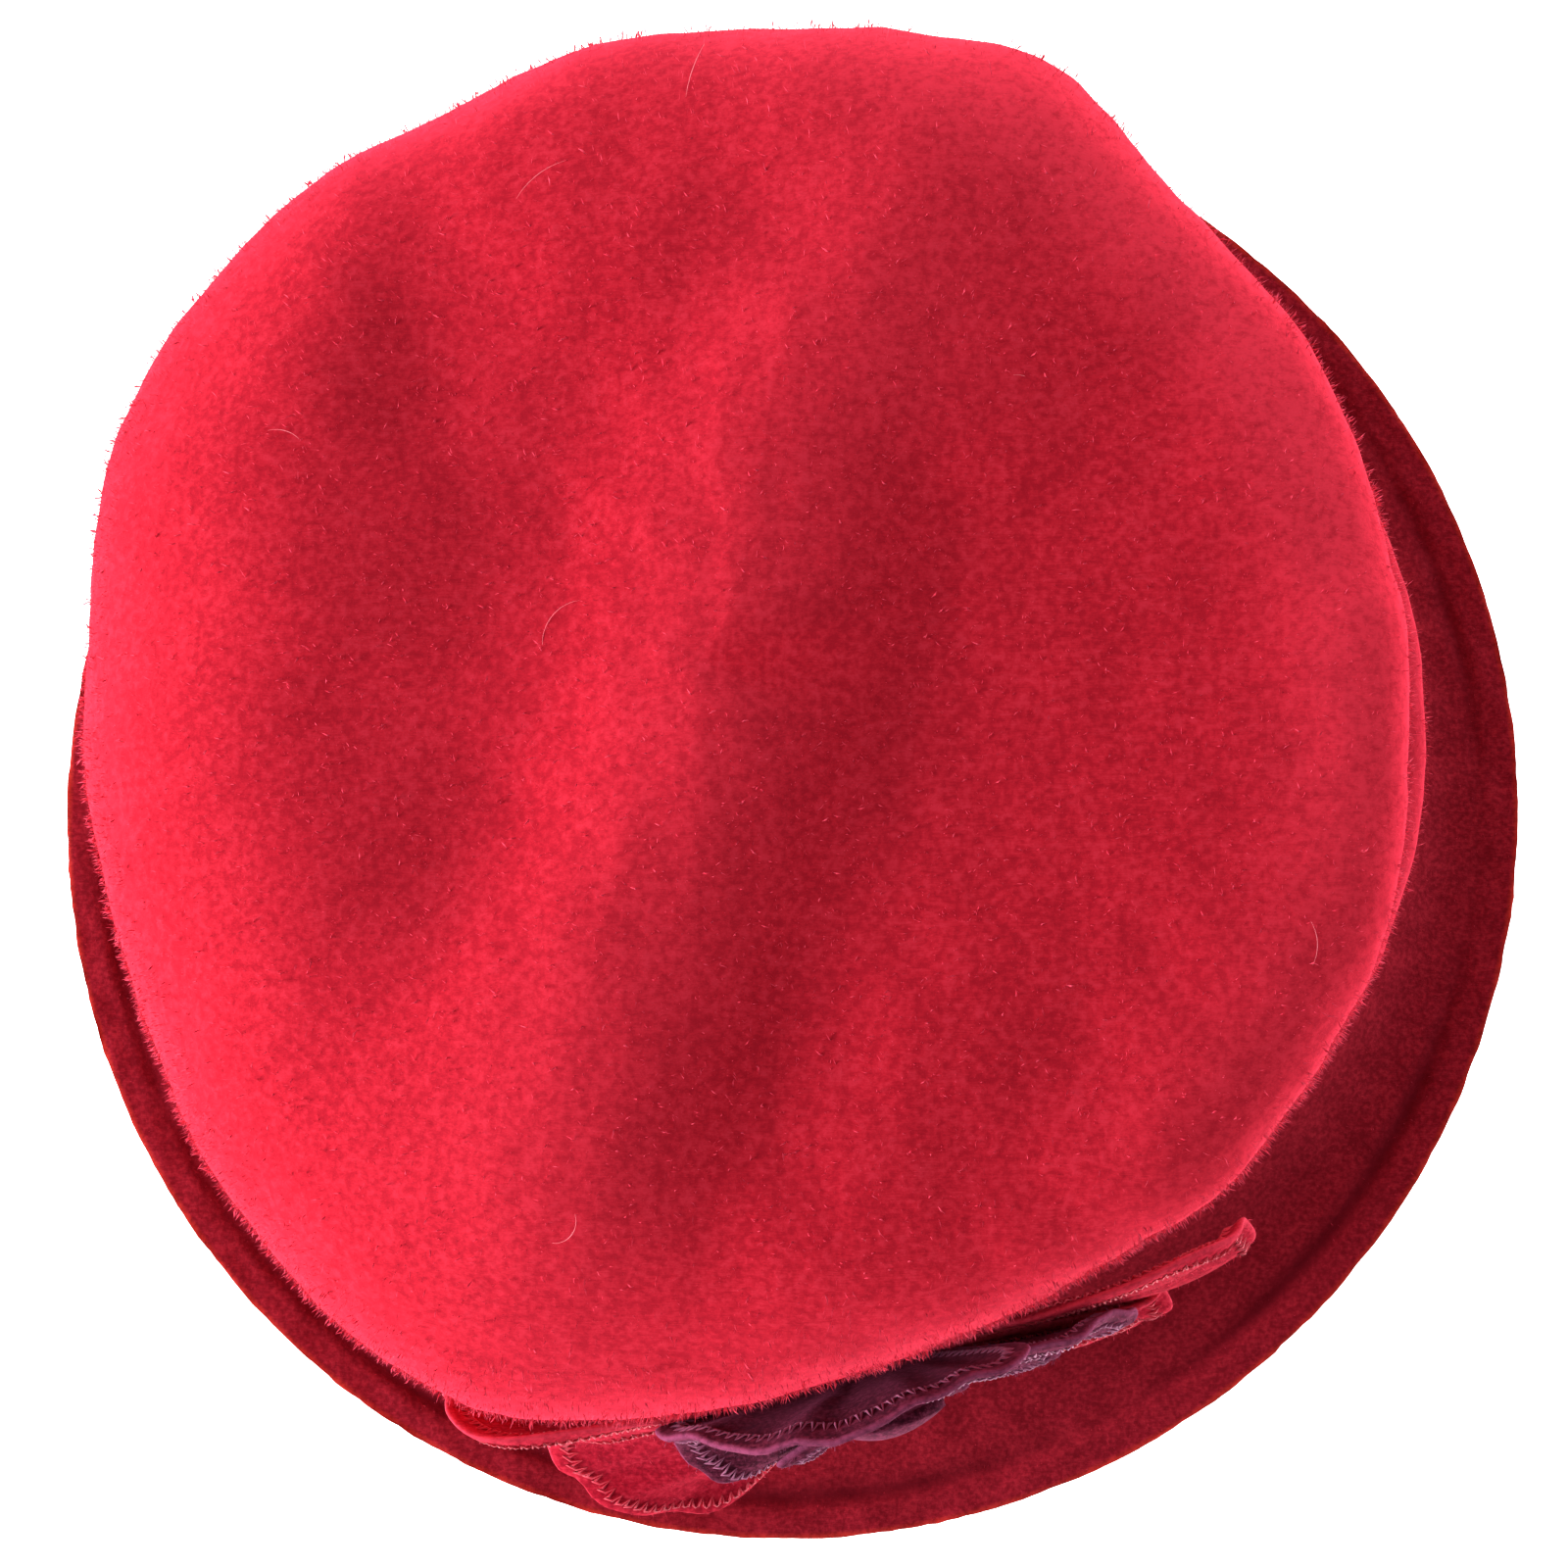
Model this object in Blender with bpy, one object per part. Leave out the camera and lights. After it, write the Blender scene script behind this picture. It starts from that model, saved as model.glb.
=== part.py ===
"""Cloche hat of fulled wool felt, with a two-layer felt flower sewn to its side.

Metres, +Z up. The hat stands on the flat outer band of its brim, crown up, and the origin is the
middle of the brim on that surface. Bearings are degrees round +Z from +X. The crown is taller than
it is stiff, so it has settled: soft folds run over its top, and a ridge rolls round its lower wall.
"""
import math

import bpy
import numpy as np

MM = 0.001

# Brim
HEAD_LENGTH = 202 * MM     # head opening along X, outside the felt
HEAD_WIDTH = 176 * MM      # head opening along Y, outside the felt
BRIM_REACH = 27 * MM       # brim beyond the long ends of the head opening, in plan
BRIM_REST = 9 * MM         # flat outer band that lies on the table
BRIM_DROP = 33 * MM        # head line above the table
BRIM_FELT = 2.5 * MM

# Crown
CROWN_RADIUS = 100 * MM    # mean radius at the shoulder
CROWN_HEIGHT = 114 * MM    # head line to the highest part of the top
CROWN_FELT = 2.5 * MM
RIDGE_OUT = 8 * MM         # how far the settled wall rolls out
PINCH_IN = 3 * MM          # how far it draws in above that
FOLD_DEPTH = 8 * MM        # depth of a fold whose share is 1
SEAM_GAP = 0.3 * MM        # crown to brim at the head line

# Flower
FLOWER_BEARING = -79.0     # degrees round the hat
FLOWER_HEIGHT = 58 * MM    # middle of the flower above the table
PETAL_FELT = 1.5 * MM
PETAL_GAP = 0.6 * MM       # between layers of petals
PETAL_STAND = 0.4 * MM     # from the crown to the first layer, where it is sewn down
PETAL_ROOT = 5 * MM        # middle of the flower to where a petal starts
RED_LENGTH = 52 * MM       # middle of the flower to the tip of a full red petal
RED_WIDTH = 48 * MM
PLUM_LENGTH = 38 * MM
PLUM_WIDTH = 40 * MM
TIP_CURL = 3 * MM          # how far petal tips roll away from the hat
RUFFLE = 1.6 * MM          # how far the petals wave in and out at their tips
BUTTON_RADIUS = 8 * MM     # plain round middle that covers the petal roots
BUTTON_DOME = 3 * MM

# Mesh fineness
BEARINGS = 64
WALL_ROWS = 9
DOME_ROWS = 10
BRIM_ROWS = 5
PETAL_SIDES = 28
PETAL_RINGS = (0.30, 0.55, 0.80, 1.0)

# Shoulder outline seen from above, every 22.5 degrees from +X, as shares of CROWN_RADIUS
SHOULDER = (0.918, 0.912, 0.908, 0.952, 0.966, 0.974, 0.993, 0.985,
            0.948, 0.962, 1.014, 1.074, 1.005, 0.958, 0.968, 0.958)

# Crown wall from the head line to the shoulder. rise: share of the wall's height; shoulder: how far
# the outline has changed from the head oval to the shoulder's; ridge, pinch: shares of those sizes
WALL = (
    dict(rise=0.00, shoulder=0.00, ridge=0.00, pinch=0.00),
    dict(rise=0.18, shoulder=0.35, ridge=0.55, pinch=0.00),
    dict(rise=0.38, shoulder=0.65, ridge=1.00, pinch=0.00),
    dict(rise=0.55, shoulder=0.84, ridge=0.30, pinch=0.80),
    dict(rise=0.70, shoulder=0.94, ridge=0.00, pinch=1.00),
    dict(rise=0.85, shoulder=0.99, ridge=0.00, pinch=0.35),
    dict(rise=1.00, shoulder=1.00, ridge=0.00, pinch=0.00),
)
SHOULDER_RISE = 0.64       # share of CROWN_HEIGHT at which the top starts

# Squareness of the top's section every 45 degrees from +X: 2 is an ellipse, more is flatter on top
# and fuller at the rim. The top has slumped to the left and stands firm on the right
SQUARENESS = (13.0, 8.5, 4.6, 3.0, 2.7, 2.7, 3.0, 7.0)

# Where the wall rolls out, as shares of RIDGE_OUT and PINCH_IN
ROLLS = (
    dict(bearing=6.0, spread=36.0, share=1.35),
    dict(bearing=194.0, spread=30.0, share=1.10),
)

# Folds of the top, from above: the points on each line and its width as shares of CROWN_RADIUS,
# and its depth as a share of FOLD_DEPTH, below zero where the felt stands up
FOLDS = (
    dict(name="long_crest", line=((0.28, 0.66), (0.07, 0.10), (-0.20, -0.66)), width=0.20, depth=-0.70),
    dict(name="long_valley", line=((0.42, 0.36), (0.37, -0.02), (0.12, -0.60)), width=0.14, depth=0.24),
    dict(name="left_hollow", line=((-0.37, 0.42), (-0.35, 0.05), (-0.37, -0.26)), width=0.20, depth=0.42),
    dict(name="left_crease", line=((-0.45, 0.70), (-0.44, 0.55), (-0.42, 0.40)), width=0.09, depth=0.17),
    dict(name="upper_crest", line=((-0.20, 0.70), (-0.04, 0.74), (0.14, 0.76)), width=0.20, depth=-0.16),
    dict(name="right_rim", line=((0.44, 0.84), (0.76, 0.52), (0.90, 0.10), (0.86, -0.34), (0.66, -0.64)),
         width=0.13, depth=-0.50),
    dict(name="rim_dent", line=((0.76, 0.42), (0.82, 0.32), (0.88, 0.16)), width=0.09, depth=0.15),
)

# How steeply the flower's bowl stands off the hat, every 45 degrees from the flower's right
BOWL = (0.16, 0.09, 0.05, 0.04, 0.19, 0.71, 0.38, 0.33)
BOWL_FLOOR = 8 * MM        # radius of the rounded bottom of the bowl
OVER_BRIM = 0.45           # how far petals tip up over the brim, as a slope

# Ruffles of the bowl: share of RUFFLE, waves round the flower, and where they start in radians
RUFFLES = (
    dict(share=0.45, waves=7, start=0.4),
    dict(share=0.35, waves=12, start=1.0),
    dict(share=0.20, waves=18, start=2.4),
)

# Petals: turn in degrees from the flower's right, anticlockwise; length and width as shares of
# their ring's; layer counted outwards from the hat; curl as a share of TIP_CURL
RED_PETALS = (
    dict(turn=3, length=1.10, width=0.95, layer=0, curl=-0.2),
    dict(turn=332, length=0.88, width=0.94, layer=1, curl=0.3),
    dict(turn=272, length=0.74, width=0.85, layer=0, curl=0.6),
    dict(turn=208, length=0.91, width=1.22, layer=2, curl=0.2),
    dict(turn=165, length=1.20, width=0.88, layer=0, curl=-1.0),
)
PLUM_PETALS = (
    dict(turn=99, length=0.98, width=1.60, layer=1, curl=0.9),
    dict(turn=208, length=0.78, width=0.95, layer=3, curl=0.6),
    dict(turn=20, length=1.00, width=0.90, layer=2, curl=-0.4),
    dict(turn=262, length=0.60, width=0.85, layer=4, curl=0.0),
    dict(turn=318, length=0.74, width=0.85, layer=3, curl=0.0),
)
BUTTON_LAYER = 5


def smooth_round(table, bearing):
    """Cubic curve through evenly spaced rows of a table that closes on itself."""
    rows = np.asarray(table)
    count = len(rows)
    place = np.mod(np.asarray(bearing, float), 360.0) / 360.0 * count
    first = np.floor(place).astype(int)
    t = place - first
    p0, p1, p2, p3 = (rows[(first + step) % count] for step in (-1, 0, 1, 2))
    bend = (2 * p0 - 5 * p1 + 4 * p2 - p3) * t ** 2 + (3 * p1 - p0 - 3 * p2 + p3) * t ** 3
    return p1 + 0.5 * ((p2 - p0) * t + bend)


def smooth_rows(rows, column, place):
    """Cubic curve through one column of the wall's rows, read at shares of the wall's height."""
    known = np.array([row["rise"] for row in rows])
    values = np.array([row[column] for row in rows])
    slopes = np.gradient(values, known)
    place = np.clip(place, 0.0, 1.0)
    first = np.clip(np.searchsorted(known, place, side="right") - 1, 0, len(rows) - 2)
    gap = known[first + 1] - known[first]
    t = (place - known[first]) / gap
    start = values[first] * (1 + 2 * t) * (1 - t) ** 2 + values[first + 1] * t * t * (3 - 2 * t)
    return start + gap * (slopes[first] * t * (1 - t) ** 2 - slopes[first + 1] * t * t * (1 - t))


def angle_apart(bearing, centre):
    """Signed angle in degrees from centre to bearing, the short way round."""
    return np.mod(np.asarray(bearing, float) - centre + 180.0, 360.0) - 180.0


def head_line(bearing):
    """Radius of the oval head opening at a bearing."""
    turn = np.radians(bearing)
    long_half = HEAD_LENGTH / 2
    short_half = HEAD_WIDTH / 2
    return long_half * short_half / np.hypot(short_half * np.cos(turn), long_half * np.sin(turn))


def roll_share(bearing):
    """How much of the lower ridge shows at a bearing."""
    total = 0.0
    for roll in ROLLS:
        away = angle_apart(bearing, roll["bearing"]) / roll["spread"]
        total = total + roll["share"] * np.exp(-away ** 2)
    return total


def wall_radius(bearing, rise):
    """Radius of the crown wall at a bearing and a share of the wall's height."""
    change = smooth_rows(WALL, "shoulder", rise)
    ridge = smooth_rows(WALL, "ridge", rise)
    pinch = smooth_rows(WALL, "pinch", rise)
    shoulder = CROWN_RADIUS * smooth_round(SHOULDER, bearing)
    roll = roll_share(bearing)
    plain = head_line(bearing) * (1 - change) + shoulder * change
    return plain + roll * (ridge * RIDGE_OUT - pinch * PINCH_IN)


def fold_depth(x, y):
    """Depth of the top's folds at a place seen from above."""
    depth = 0.0
    for fold in FOLDS:
        points = [np.array(point) * CROWN_RADIUS for point in fold["line"]]
        nearest = np.full(np.shape(x), np.inf)
        for start, end in zip(points[:-1], points[1:]):
            run = end - start
            along = ((x - start[0]) * run[0] + (y - start[1]) * run[1]) / (run @ run)
            along = np.clip(along, 0.0, 1.0)
            away = np.hypot(x - start[0] - along * run[0], y - start[1] - along * run[1])
            nearest = np.minimum(nearest, away)
        share = np.exp(-(nearest / (fold["width"] * CROWN_RADIUS)) ** 2)
        depth = depth + fold["depth"] * FOLD_DEPTH * share
    return depth


def crown_point(bearing, level):
    """Outer face of the crown. Level 0 to 1 climbs the wall, 1 to 2 crosses the rim to the tip."""
    bearing, level = np.broadcast_arrays(np.asarray(bearing, float), np.asarray(level, float))
    rise = np.clip(level, 0.0, 1.0)
    over = np.clip(level - 1.0, 0.0, 1.0) * math.pi / 2
    power = 2.0 / smooth_round(SQUARENESS, bearing)
    inward = np.clip(np.cos(over), 0.0, 1.0) ** power
    upward = np.sin(over) ** power
    radius = wall_radius(bearing, rise) * np.where(level > 1.0, inward, 1.0)
    wall_height = SHOULDER_RISE * CROWN_HEIGHT
    height = BRIM_DROP + wall_height * rise + (CROWN_HEIGHT - wall_height) * upward
    turn = np.radians(bearing)
    point = np.stack([radius * np.cos(turn), radius * np.sin(turn), height], axis=-1)
    heart = np.array([0.0, 0.0, BRIM_DROP + wall_height / 2])
    outward = point - heart
    outward = outward / np.linalg.norm(outward, axis=-1, keepdims=True)
    settle = fold_depth(point[..., 0], point[..., 1]) * np.clip(level - 0.8, 0.0, 0.4) / 0.4
    return point - outward * settle[..., None]


def crown_levels():
    """Levels for the crown's rows: even up the wall, then an even walk over the rim to the tip."""
    wall = np.linspace(0.0, 1.0, WALL_ROWS)
    fine = np.linspace(1.0, 2.0, 200)
    path = crown_point(0.0, fine)
    run = np.concatenate([[0.0], np.cumsum(np.linalg.norm(np.diff(path, axis=0), axis=1))])
    dome = np.interp(np.linspace(0.0, run[-1], DOME_ROWS + 2)[1:-1], run, fine)
    return np.concatenate([wall, dome])


def brim_point(bearing, level, under):
    """Face of the brim. Level 0 is the head line, 1 where it meets the flat band, 2 the edge.

    It sweeps out as a quarter of an ellipse and lies flat from there on. under is 0 for the top
    face and the felt's thickness for the face below.
    """
    bearing, level = np.broadcast_arrays(np.asarray(bearing, float), np.asarray(level, float))
    edge = HEAD_LENGTH / 2 + BRIM_REACH
    foot = edge - BRIM_REST
    sweep = np.clip(level, 0.0, 1.0) * math.pi / 2
    reach = foot - head_line(bearing) + under
    fall = BRIM_DROP - BRIM_FELT + under
    radius = foot - reach * np.cos(sweep) + np.clip(level - 1.0, 0.0, 1.0) * BRIM_REST
    height = BRIM_DROP - SEAM_GAP - (fall - SEAM_GAP) * np.sin(sweep)
    turn = np.radians(bearing)
    return np.stack([radius * np.cos(turn), radius * np.sin(turn), height], axis=-1)


def hat_face(bearing, level):
    """The hat's outer face. Level -1 is where the brim meets its flat band, 0 the head line, and
    above that it is the crown's level."""
    bearing, level = np.broadcast_arrays(np.asarray(bearing, float), np.asarray(level, float))
    brim = brim_point(bearing, np.clip(-level, 0.0, 1.0), 0.0)
    crown = crown_point(bearing, np.clip(level, 0.0, 2.0))
    return np.where((level < 0.0)[..., None], brim, crown)


def on_hat(right, up):
    """Points on the hat's outer face, measured over the felt from the middle of the flower. Heights
    are measured on the line up the hat through that middle."""
    levels = np.linspace(-1.0, 1.6, 400)
    line = hat_face(FLOWER_BEARING, levels)
    run = np.concatenate([[0.0], np.cumsum(np.linalg.norm(np.diff(line, axis=0), axis=1))])
    middle_run = np.interp(FLOWER_HEIGHT, line[:, 2], run)
    middle_radius = np.interp(FLOWER_HEIGHT, line[:, 2], np.hypot(line[:, 0], line[:, 1]))
    level = np.interp(middle_run + np.ravel(up), run, levels)
    return hat_face(FLOWER_BEARING + np.degrees(np.ravel(right) / middle_radius), level)


def off_hat(right, up, stand):
    """Points that stand off the hat by the given distance: straight out from the crown, and tipped
    upwards by more and more as the brim sweeps away below."""
    foot = on_hat(right, up)
    outward = foot * np.array([1.0, 1.0, 0.0])
    outward = outward / np.linalg.norm(outward, axis=1, keepdims=True)
    below = np.clip((FLOWER_HEIGHT - foot[:, 2]) / BRIM_DROP, 0.0, None)
    outward[:, 2] = OVER_BRIM * below
    outward = outward / np.linalg.norm(outward, axis=1, keepdims=True)
    return foot + outward * np.ravel(stand)[:, None]


def bowl_stand(right, up, layer):
    """How far a layer of the flower stands off the hat: a bowl, with the layers nested in it.

    It is nearest to the hat where the petals start, and they are sewn down there. Further out its
    ruffles grow with the square of the distance, the same for every layer, so that the layers nest.
    """
    away = np.hypot(right, up)
    turn = np.arctan2(up, right)
    steep = smooth_round(BOWL, np.degrees(turn))
    sweep = np.sqrt(away ** 2 + BOWL_FLOOR ** 2) - math.hypot(PETAL_ROOT, BOWL_FLOOR)
    slant = np.hypot(1.0, steep * away / np.sqrt(away ** 2 + BOWL_FLOOR ** 2))
    waves = sum(row["share"] * (1.0 + np.sin(row["waves"] * turn + row["start"])) for row in RUFFLES)
    ruffle = RUFFLE * waves * (away / RED_LENGTH) ** 2
    return PETAL_STAND + steep * sweep + ruffle + layer * (PETAL_FELT + PETAL_GAP) * slant, slant


def petal_outline(length, width, around):
    """Outline of a petal along +x, anticlockwise: a rounded leaf, widest past its middle."""
    along = (1.0 - np.cos(around)) / 2.0
    side = -np.sign(np.sin(around)) * np.abs(np.sin(around)) ** 0.9
    taper = 0.42 + 0.58 * along ** 0.8
    return PETAL_ROOT + (length - PETAL_ROOT) * along, width / 2 * side * taper


def close_rings(front, back, sides):
    """Faces of a slab whose two sides are a middle point and rings of points round it."""
    rings = (len(front) - 1) // sides
    start = len(front)
    faces = []
    for side in range(sides):
        after = (side + 1) % sides
        faces.append((0, 1 + side, 1 + after))
        faces.append((start, start + 1 + after, start + 1 + side))
        for ring in range(rings - 1):
            low = 1 + ring * sides
            high = low + sides
            faces.append((low + side, high + side, high + after, low + after))
            faces.append((start + low + side, start + low + after, start + high + after, start + high + side))
        rim = 1 + (rings - 1) * sides
        faces.append((rim + side, start + rim + side, start + rim + after, rim + after))
    return np.vstack([front, back]), faces


def close_shell(outer, inner, outer_tip, inner_tip):
    """Faces of a cap: rows of points round the hat, joined along the first row and shut at the tip."""
    rows, sides = outer.shape[:2]
    points = np.vstack([outer.reshape(-1, 3), inner.reshape(-1, 3), outer_tip[None], inner_tip[None]])
    inside = rows * sides
    faces = []
    for side in range(sides):
        after = (side + 1) % sides
        for row in range(rows - 1):
            low = row * sides
            high = low + sides
            faces.append((low + side, low + after, high + after, high + side))
            faces.append((inside + low + side, inside + high + side,
                          inside + high + after, inside + low + after))
        last = (rows - 1) * sides
        faces.append((last + side, last + after, 2 * inside))
        faces.append((inside + last + after, inside + last + side, 2 * inside + 1))
        faces.append((side, inside + side, inside + after, after))
    return points, faces


def felt(name, colour, roughness):
    """Felt as a plain Principled material."""
    material = bpy.data.materials.new(name)
    material.use_nodes = True
    shader = material.node_tree.nodes["Principled BSDF"]
    shader.inputs["Base Color"].default_value = (*colour, 1.0)
    shader.inputs["Roughness"].default_value = roughness
    shader.inputs["Metallic"].default_value = 0.0
    return material


def add_piece(name, points, faces, material, sharp=50.0):
    """One named object from points and faces, smooth but for its cut edges."""
    mesh = bpy.data.meshes.new(name)
    mesh.from_pydata([tuple(point) for point in points], [], faces)
    mesh.validate()
    mesh.shade_smooth()
    mesh.set_sharp_from_angle(angle=math.radians(sharp))
    mesh.materials.append(material)
    piece = bpy.data.objects.new(name, mesh)
    bpy.context.scene.collection.objects.link(piece)
    return piece


def make_crown(material):
    """Crown: the outer face, and an inner face one felt's thickness inside it."""
    bearings = np.arange(BEARINGS) * 360.0 / BEARINGS
    levels = crown_levels()
    outer = crown_point(bearings[None, :], levels[:, None])
    tip = crown_point(0.0, 2.0)
    rows_with_tip = np.concatenate([outer, np.broadcast_to(tip, (1, BEARINGS, 3))])
    climb = np.gradient(rows_with_tip, axis=0)[:-1]
    across = np.roll(outer, -1, axis=1) - np.roll(outer, 1, axis=1)
    normal = np.cross(across, climb)
    normal[0, :, 2] = 0.0
    normal = normal / np.linalg.norm(normal, axis=-1, keepdims=True)
    inner = outer - normal * CROWN_FELT
    inner_tip = tip - np.array([0.0, 0.0, CROWN_FELT])
    points, faces = close_shell(outer, inner, tip, inner_tip)
    return add_piece("crown", points, faces, material)


def make_brim(material):
    """Brim: a closed ring whose section sweeps out to the flat band."""
    bearings = np.arange(BEARINGS) * 360.0 / BEARINGS
    levels = np.append(np.linspace(0.0, 1.0, BRIM_ROWS + 1), 2.0)
    top = brim_point(bearings[None, :], levels[:, None], 0.0)
    below = brim_point(bearings[None, :], levels[::-1, None], BRIM_FELT)
    section = np.concatenate([top, below])
    rows = len(section)
    faces = []
    for row in range(rows):
        next_row = (row + 1) % rows
        for side in range(BEARINGS):
            after = (side + 1) % BEARINGS
            faces.append((row * BEARINGS + side, next_row * BEARINGS + side,
                          next_row * BEARINGS + after, row * BEARINGS + after))
    return add_piece("brim", section.reshape(-1, 3), faces, material)


def make_petal(name, row, full_length, full_width, material):
    """Petal: a rounded leaf of felt laid in the flower's bowl, its tip rolled outwards."""
    length = row["length"] * full_length
    width = row["width"] * full_width
    around = np.arange(PETAL_SIDES) * 2 * math.pi / PETAL_SIDES
    edge_x, edge_y = petal_outline(length, width, around)
    middle_x = PETAL_ROOT + 0.55 * (length - PETAL_ROOT)
    x = [np.array([middle_x])]
    y = [np.array([0.0])]
    for share in PETAL_RINGS:
        x.append(middle_x + share * (edge_x - middle_x))
        y.append(share * edge_y)
    x = np.concatenate(x)
    y = np.concatenate(y)
    turn = math.radians(row["turn"])
    right = x * math.cos(turn) - y * math.sin(turn)
    up = x * math.sin(turn) + y * math.cos(turn)
    stand, slant = bowl_stand(right, up, row["layer"])
    near_tip = np.clip((x / length - 0.7) / 0.3, 0.0, 1.0)
    near_middle = np.clip(1.0 - (2.5 * y / width) ** 2, 0.0, 1.0)
    stand = stand + row["curl"] * TIP_CURL * near_tip ** 2 * near_middle
    back = off_hat(right, up, stand)
    front = off_hat(right, up, stand + PETAL_FELT * slant)
    points, faces = close_rings(front, back, PETAL_SIDES)
    return add_piece(name, points, faces, material)


def make_button(material):
    """Button: a small domed round that covers the petals' roots."""
    around = np.arange(PETAL_SIDES) * 2 * math.pi / PETAL_SIDES
    right = [np.zeros(1)]
    up = [np.zeros(1)]
    for share in PETAL_RINGS:
        right.append(share * BUTTON_RADIUS * np.cos(around))
        up.append(share * BUTTON_RADIUS * np.sin(around))
    right = np.concatenate(right)
    up = np.concatenate(up)
    stand, slant = bowl_stand(right, up, BUTTON_LAYER)
    dome = BUTTON_DOME * (1.0 - (right ** 2 + up ** 2) / BUTTON_RADIUS ** 2)
    back = off_hat(right, up, stand)
    front = off_hat(right, up, stand + PETAL_FELT * slant + dome)
    points, faces = close_rings(front, back, PETAL_SIDES)
    return add_piece("flower_centre", points, faces, material)


def build_hat():
    """Every piece of the hat."""
    for thing in list(bpy.data.objects):
        bpy.data.objects.remove(thing, do_unlink=True)
    red = felt("red wool felt", (0.52, 0.012, 0.028), 0.95)
    plum = felt("plum wool felt", (0.10, 0.016, 0.034), 0.95)
    make_crown(red)
    make_brim(red)
    for number, row in enumerate(RED_PETALS, start=1):
        make_petal(f"red_petal_{number}", row, RED_LENGTH, RED_WIDTH, red)
    for number, row in enumerate(PLUM_PETALS, start=1):
        make_petal(f"plum_petal_{number}", row, PLUM_LENGTH, PLUM_WIDTH, plum)
    make_button(plum)


build_hat()
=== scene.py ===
# %% [markdown]
# # A cloche hat of fulled wool felt
#
# A cloche is a bell-shaped hat. This one is wool that was felted over a wooden form and then
# shrunk, or fulled, until it was thick and soft. It stands crown up on its brim, and a felt flower
# is sewn to its side. A plain solid model of it exists already: a crown, a brim, ten petals and the
# flower's middle. This lesson gives those pieces their real surface, so it starts by loading them.

# %% Load the plain model
import math

import bpy
import numpy as np
from mathutils import Matrix, Vector


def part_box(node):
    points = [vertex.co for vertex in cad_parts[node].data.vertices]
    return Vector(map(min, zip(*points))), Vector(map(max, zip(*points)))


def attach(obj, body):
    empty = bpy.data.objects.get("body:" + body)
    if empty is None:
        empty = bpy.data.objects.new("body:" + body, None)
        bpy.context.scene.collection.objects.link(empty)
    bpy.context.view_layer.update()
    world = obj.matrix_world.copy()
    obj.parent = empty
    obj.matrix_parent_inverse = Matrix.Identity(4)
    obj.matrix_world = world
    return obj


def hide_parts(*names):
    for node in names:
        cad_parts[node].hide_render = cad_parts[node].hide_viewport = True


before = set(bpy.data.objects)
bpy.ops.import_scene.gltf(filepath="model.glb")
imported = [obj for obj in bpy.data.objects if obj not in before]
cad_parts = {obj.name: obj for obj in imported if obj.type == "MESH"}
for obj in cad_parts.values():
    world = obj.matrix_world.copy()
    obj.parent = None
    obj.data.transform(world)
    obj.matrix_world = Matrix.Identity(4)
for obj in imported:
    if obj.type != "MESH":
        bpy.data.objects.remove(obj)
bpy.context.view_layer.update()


def sides(low, high):
    """Sides of a box in millimetres."""
    return [round(1000 * (end - start), 1) for start, end in zip(low, high)]


# %% [markdown]
# ## Sizes
#
# The sizes below are the hat's own, in metres. What the plain model can tell is read from its
# boxes, so a hat of another size keeps its looks. The rest are the maker's choices.

# %% Sizes
MM = 0.001
BRIM_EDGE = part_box("brim")[1].x
CROWN_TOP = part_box("crown")[1].z
SEAM_GAP = 0.3 * MM  # crown to brim at the head line
BRIM_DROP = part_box("brim")[1].z + SEAM_GAP
HEAD_LENGTH = 202 * MM  # head opening along X, outside the felt
HEAD_WIDTH = 176 * MM
BRIM_REST = 9 * MM  # flat outer band that lies on the table
BRIM_FELT = 2.5 * MM
CROWN_RADIUS = 100 * MM  # mean radius at the shoulder
CROWN_HEIGHT = 114 * MM  # head line to the highest part of the top, before it settled
CROWN_FELT = 2.5 * MM
RIDGE_OUT = 8 * MM  # how far the settled wall rolls out
PINCH_IN = 3 * MM  # how far it draws in above that
FOLD_DEPTH = 8 * MM  # depth of a fold whose share is 1
print("brim", round(2000 * BRIM_EDGE), "mm across, crown", round(1000 * CROWN_TOP), "mm high")

# %% [markdown]
# ## Helpers for colours, materials and objects
#
# Colours on screens are stored as sRGB, but light adds up in linear values, so every colour below
# is an sRGB hex value that one function turns to linear. A material is a tree of nodes round one
# shader. What is the same all over a surface is set on the shader, and what varies comes from
# nodes: one small function adds a node, sets its values and links its inputs.

# %% Colour, material, node and object helpers
def colour(code):
    """Linear colour of an sRGB hex value: straight near black, a power of 2.4 above."""
    parts = np.array([int(code[place:place + 2], 16) for place in (1, 3, 5)]) / 255.0
    linear = np.where(parts <= 0.04045, parts / 12.92, ((parts + 0.055) / 1.055) ** 2.4)
    return (*linear.tolist(), 1.0)


def new_material(name, values):
    """A material and its shader, with what is the same all over the surface."""
    material = bpy.data.materials.new(name)
    material.use_nodes = True
    shader = material.node_tree.nodes["Principled BSDF"]
    for socket, value in values.items():
        shader.inputs[socket].default_value = value
    return material, shader


def add_node(tree, kind, settings=None, **inputs):
    """Add a node. Inputs go by name, or by number as n0, n1. A socket is linked, a value is set."""
    node = tree.nodes.new(kind)
    for name, value in (settings or {}).items():
        setattr(node, name, value)
    for name, value in inputs.items():
        socket = node.inputs[int(name[1:]) if name[1:].isdigit() else name]
        if isinstance(value, bpy.types.NodeSocket):
            tree.links.new(value, socket)
        else:
            socket.default_value = value
    return node


def place_in_scene(name, data):
    """An object made of the data, in the scene."""
    thing = bpy.data.objects.new(name, data)
    bpy.context.scene.collection.objects.link(thing)
    return thing


print("cherry red in linear values:", [round(part, 3) for part in colour("#C4203A")[:3]])

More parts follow.
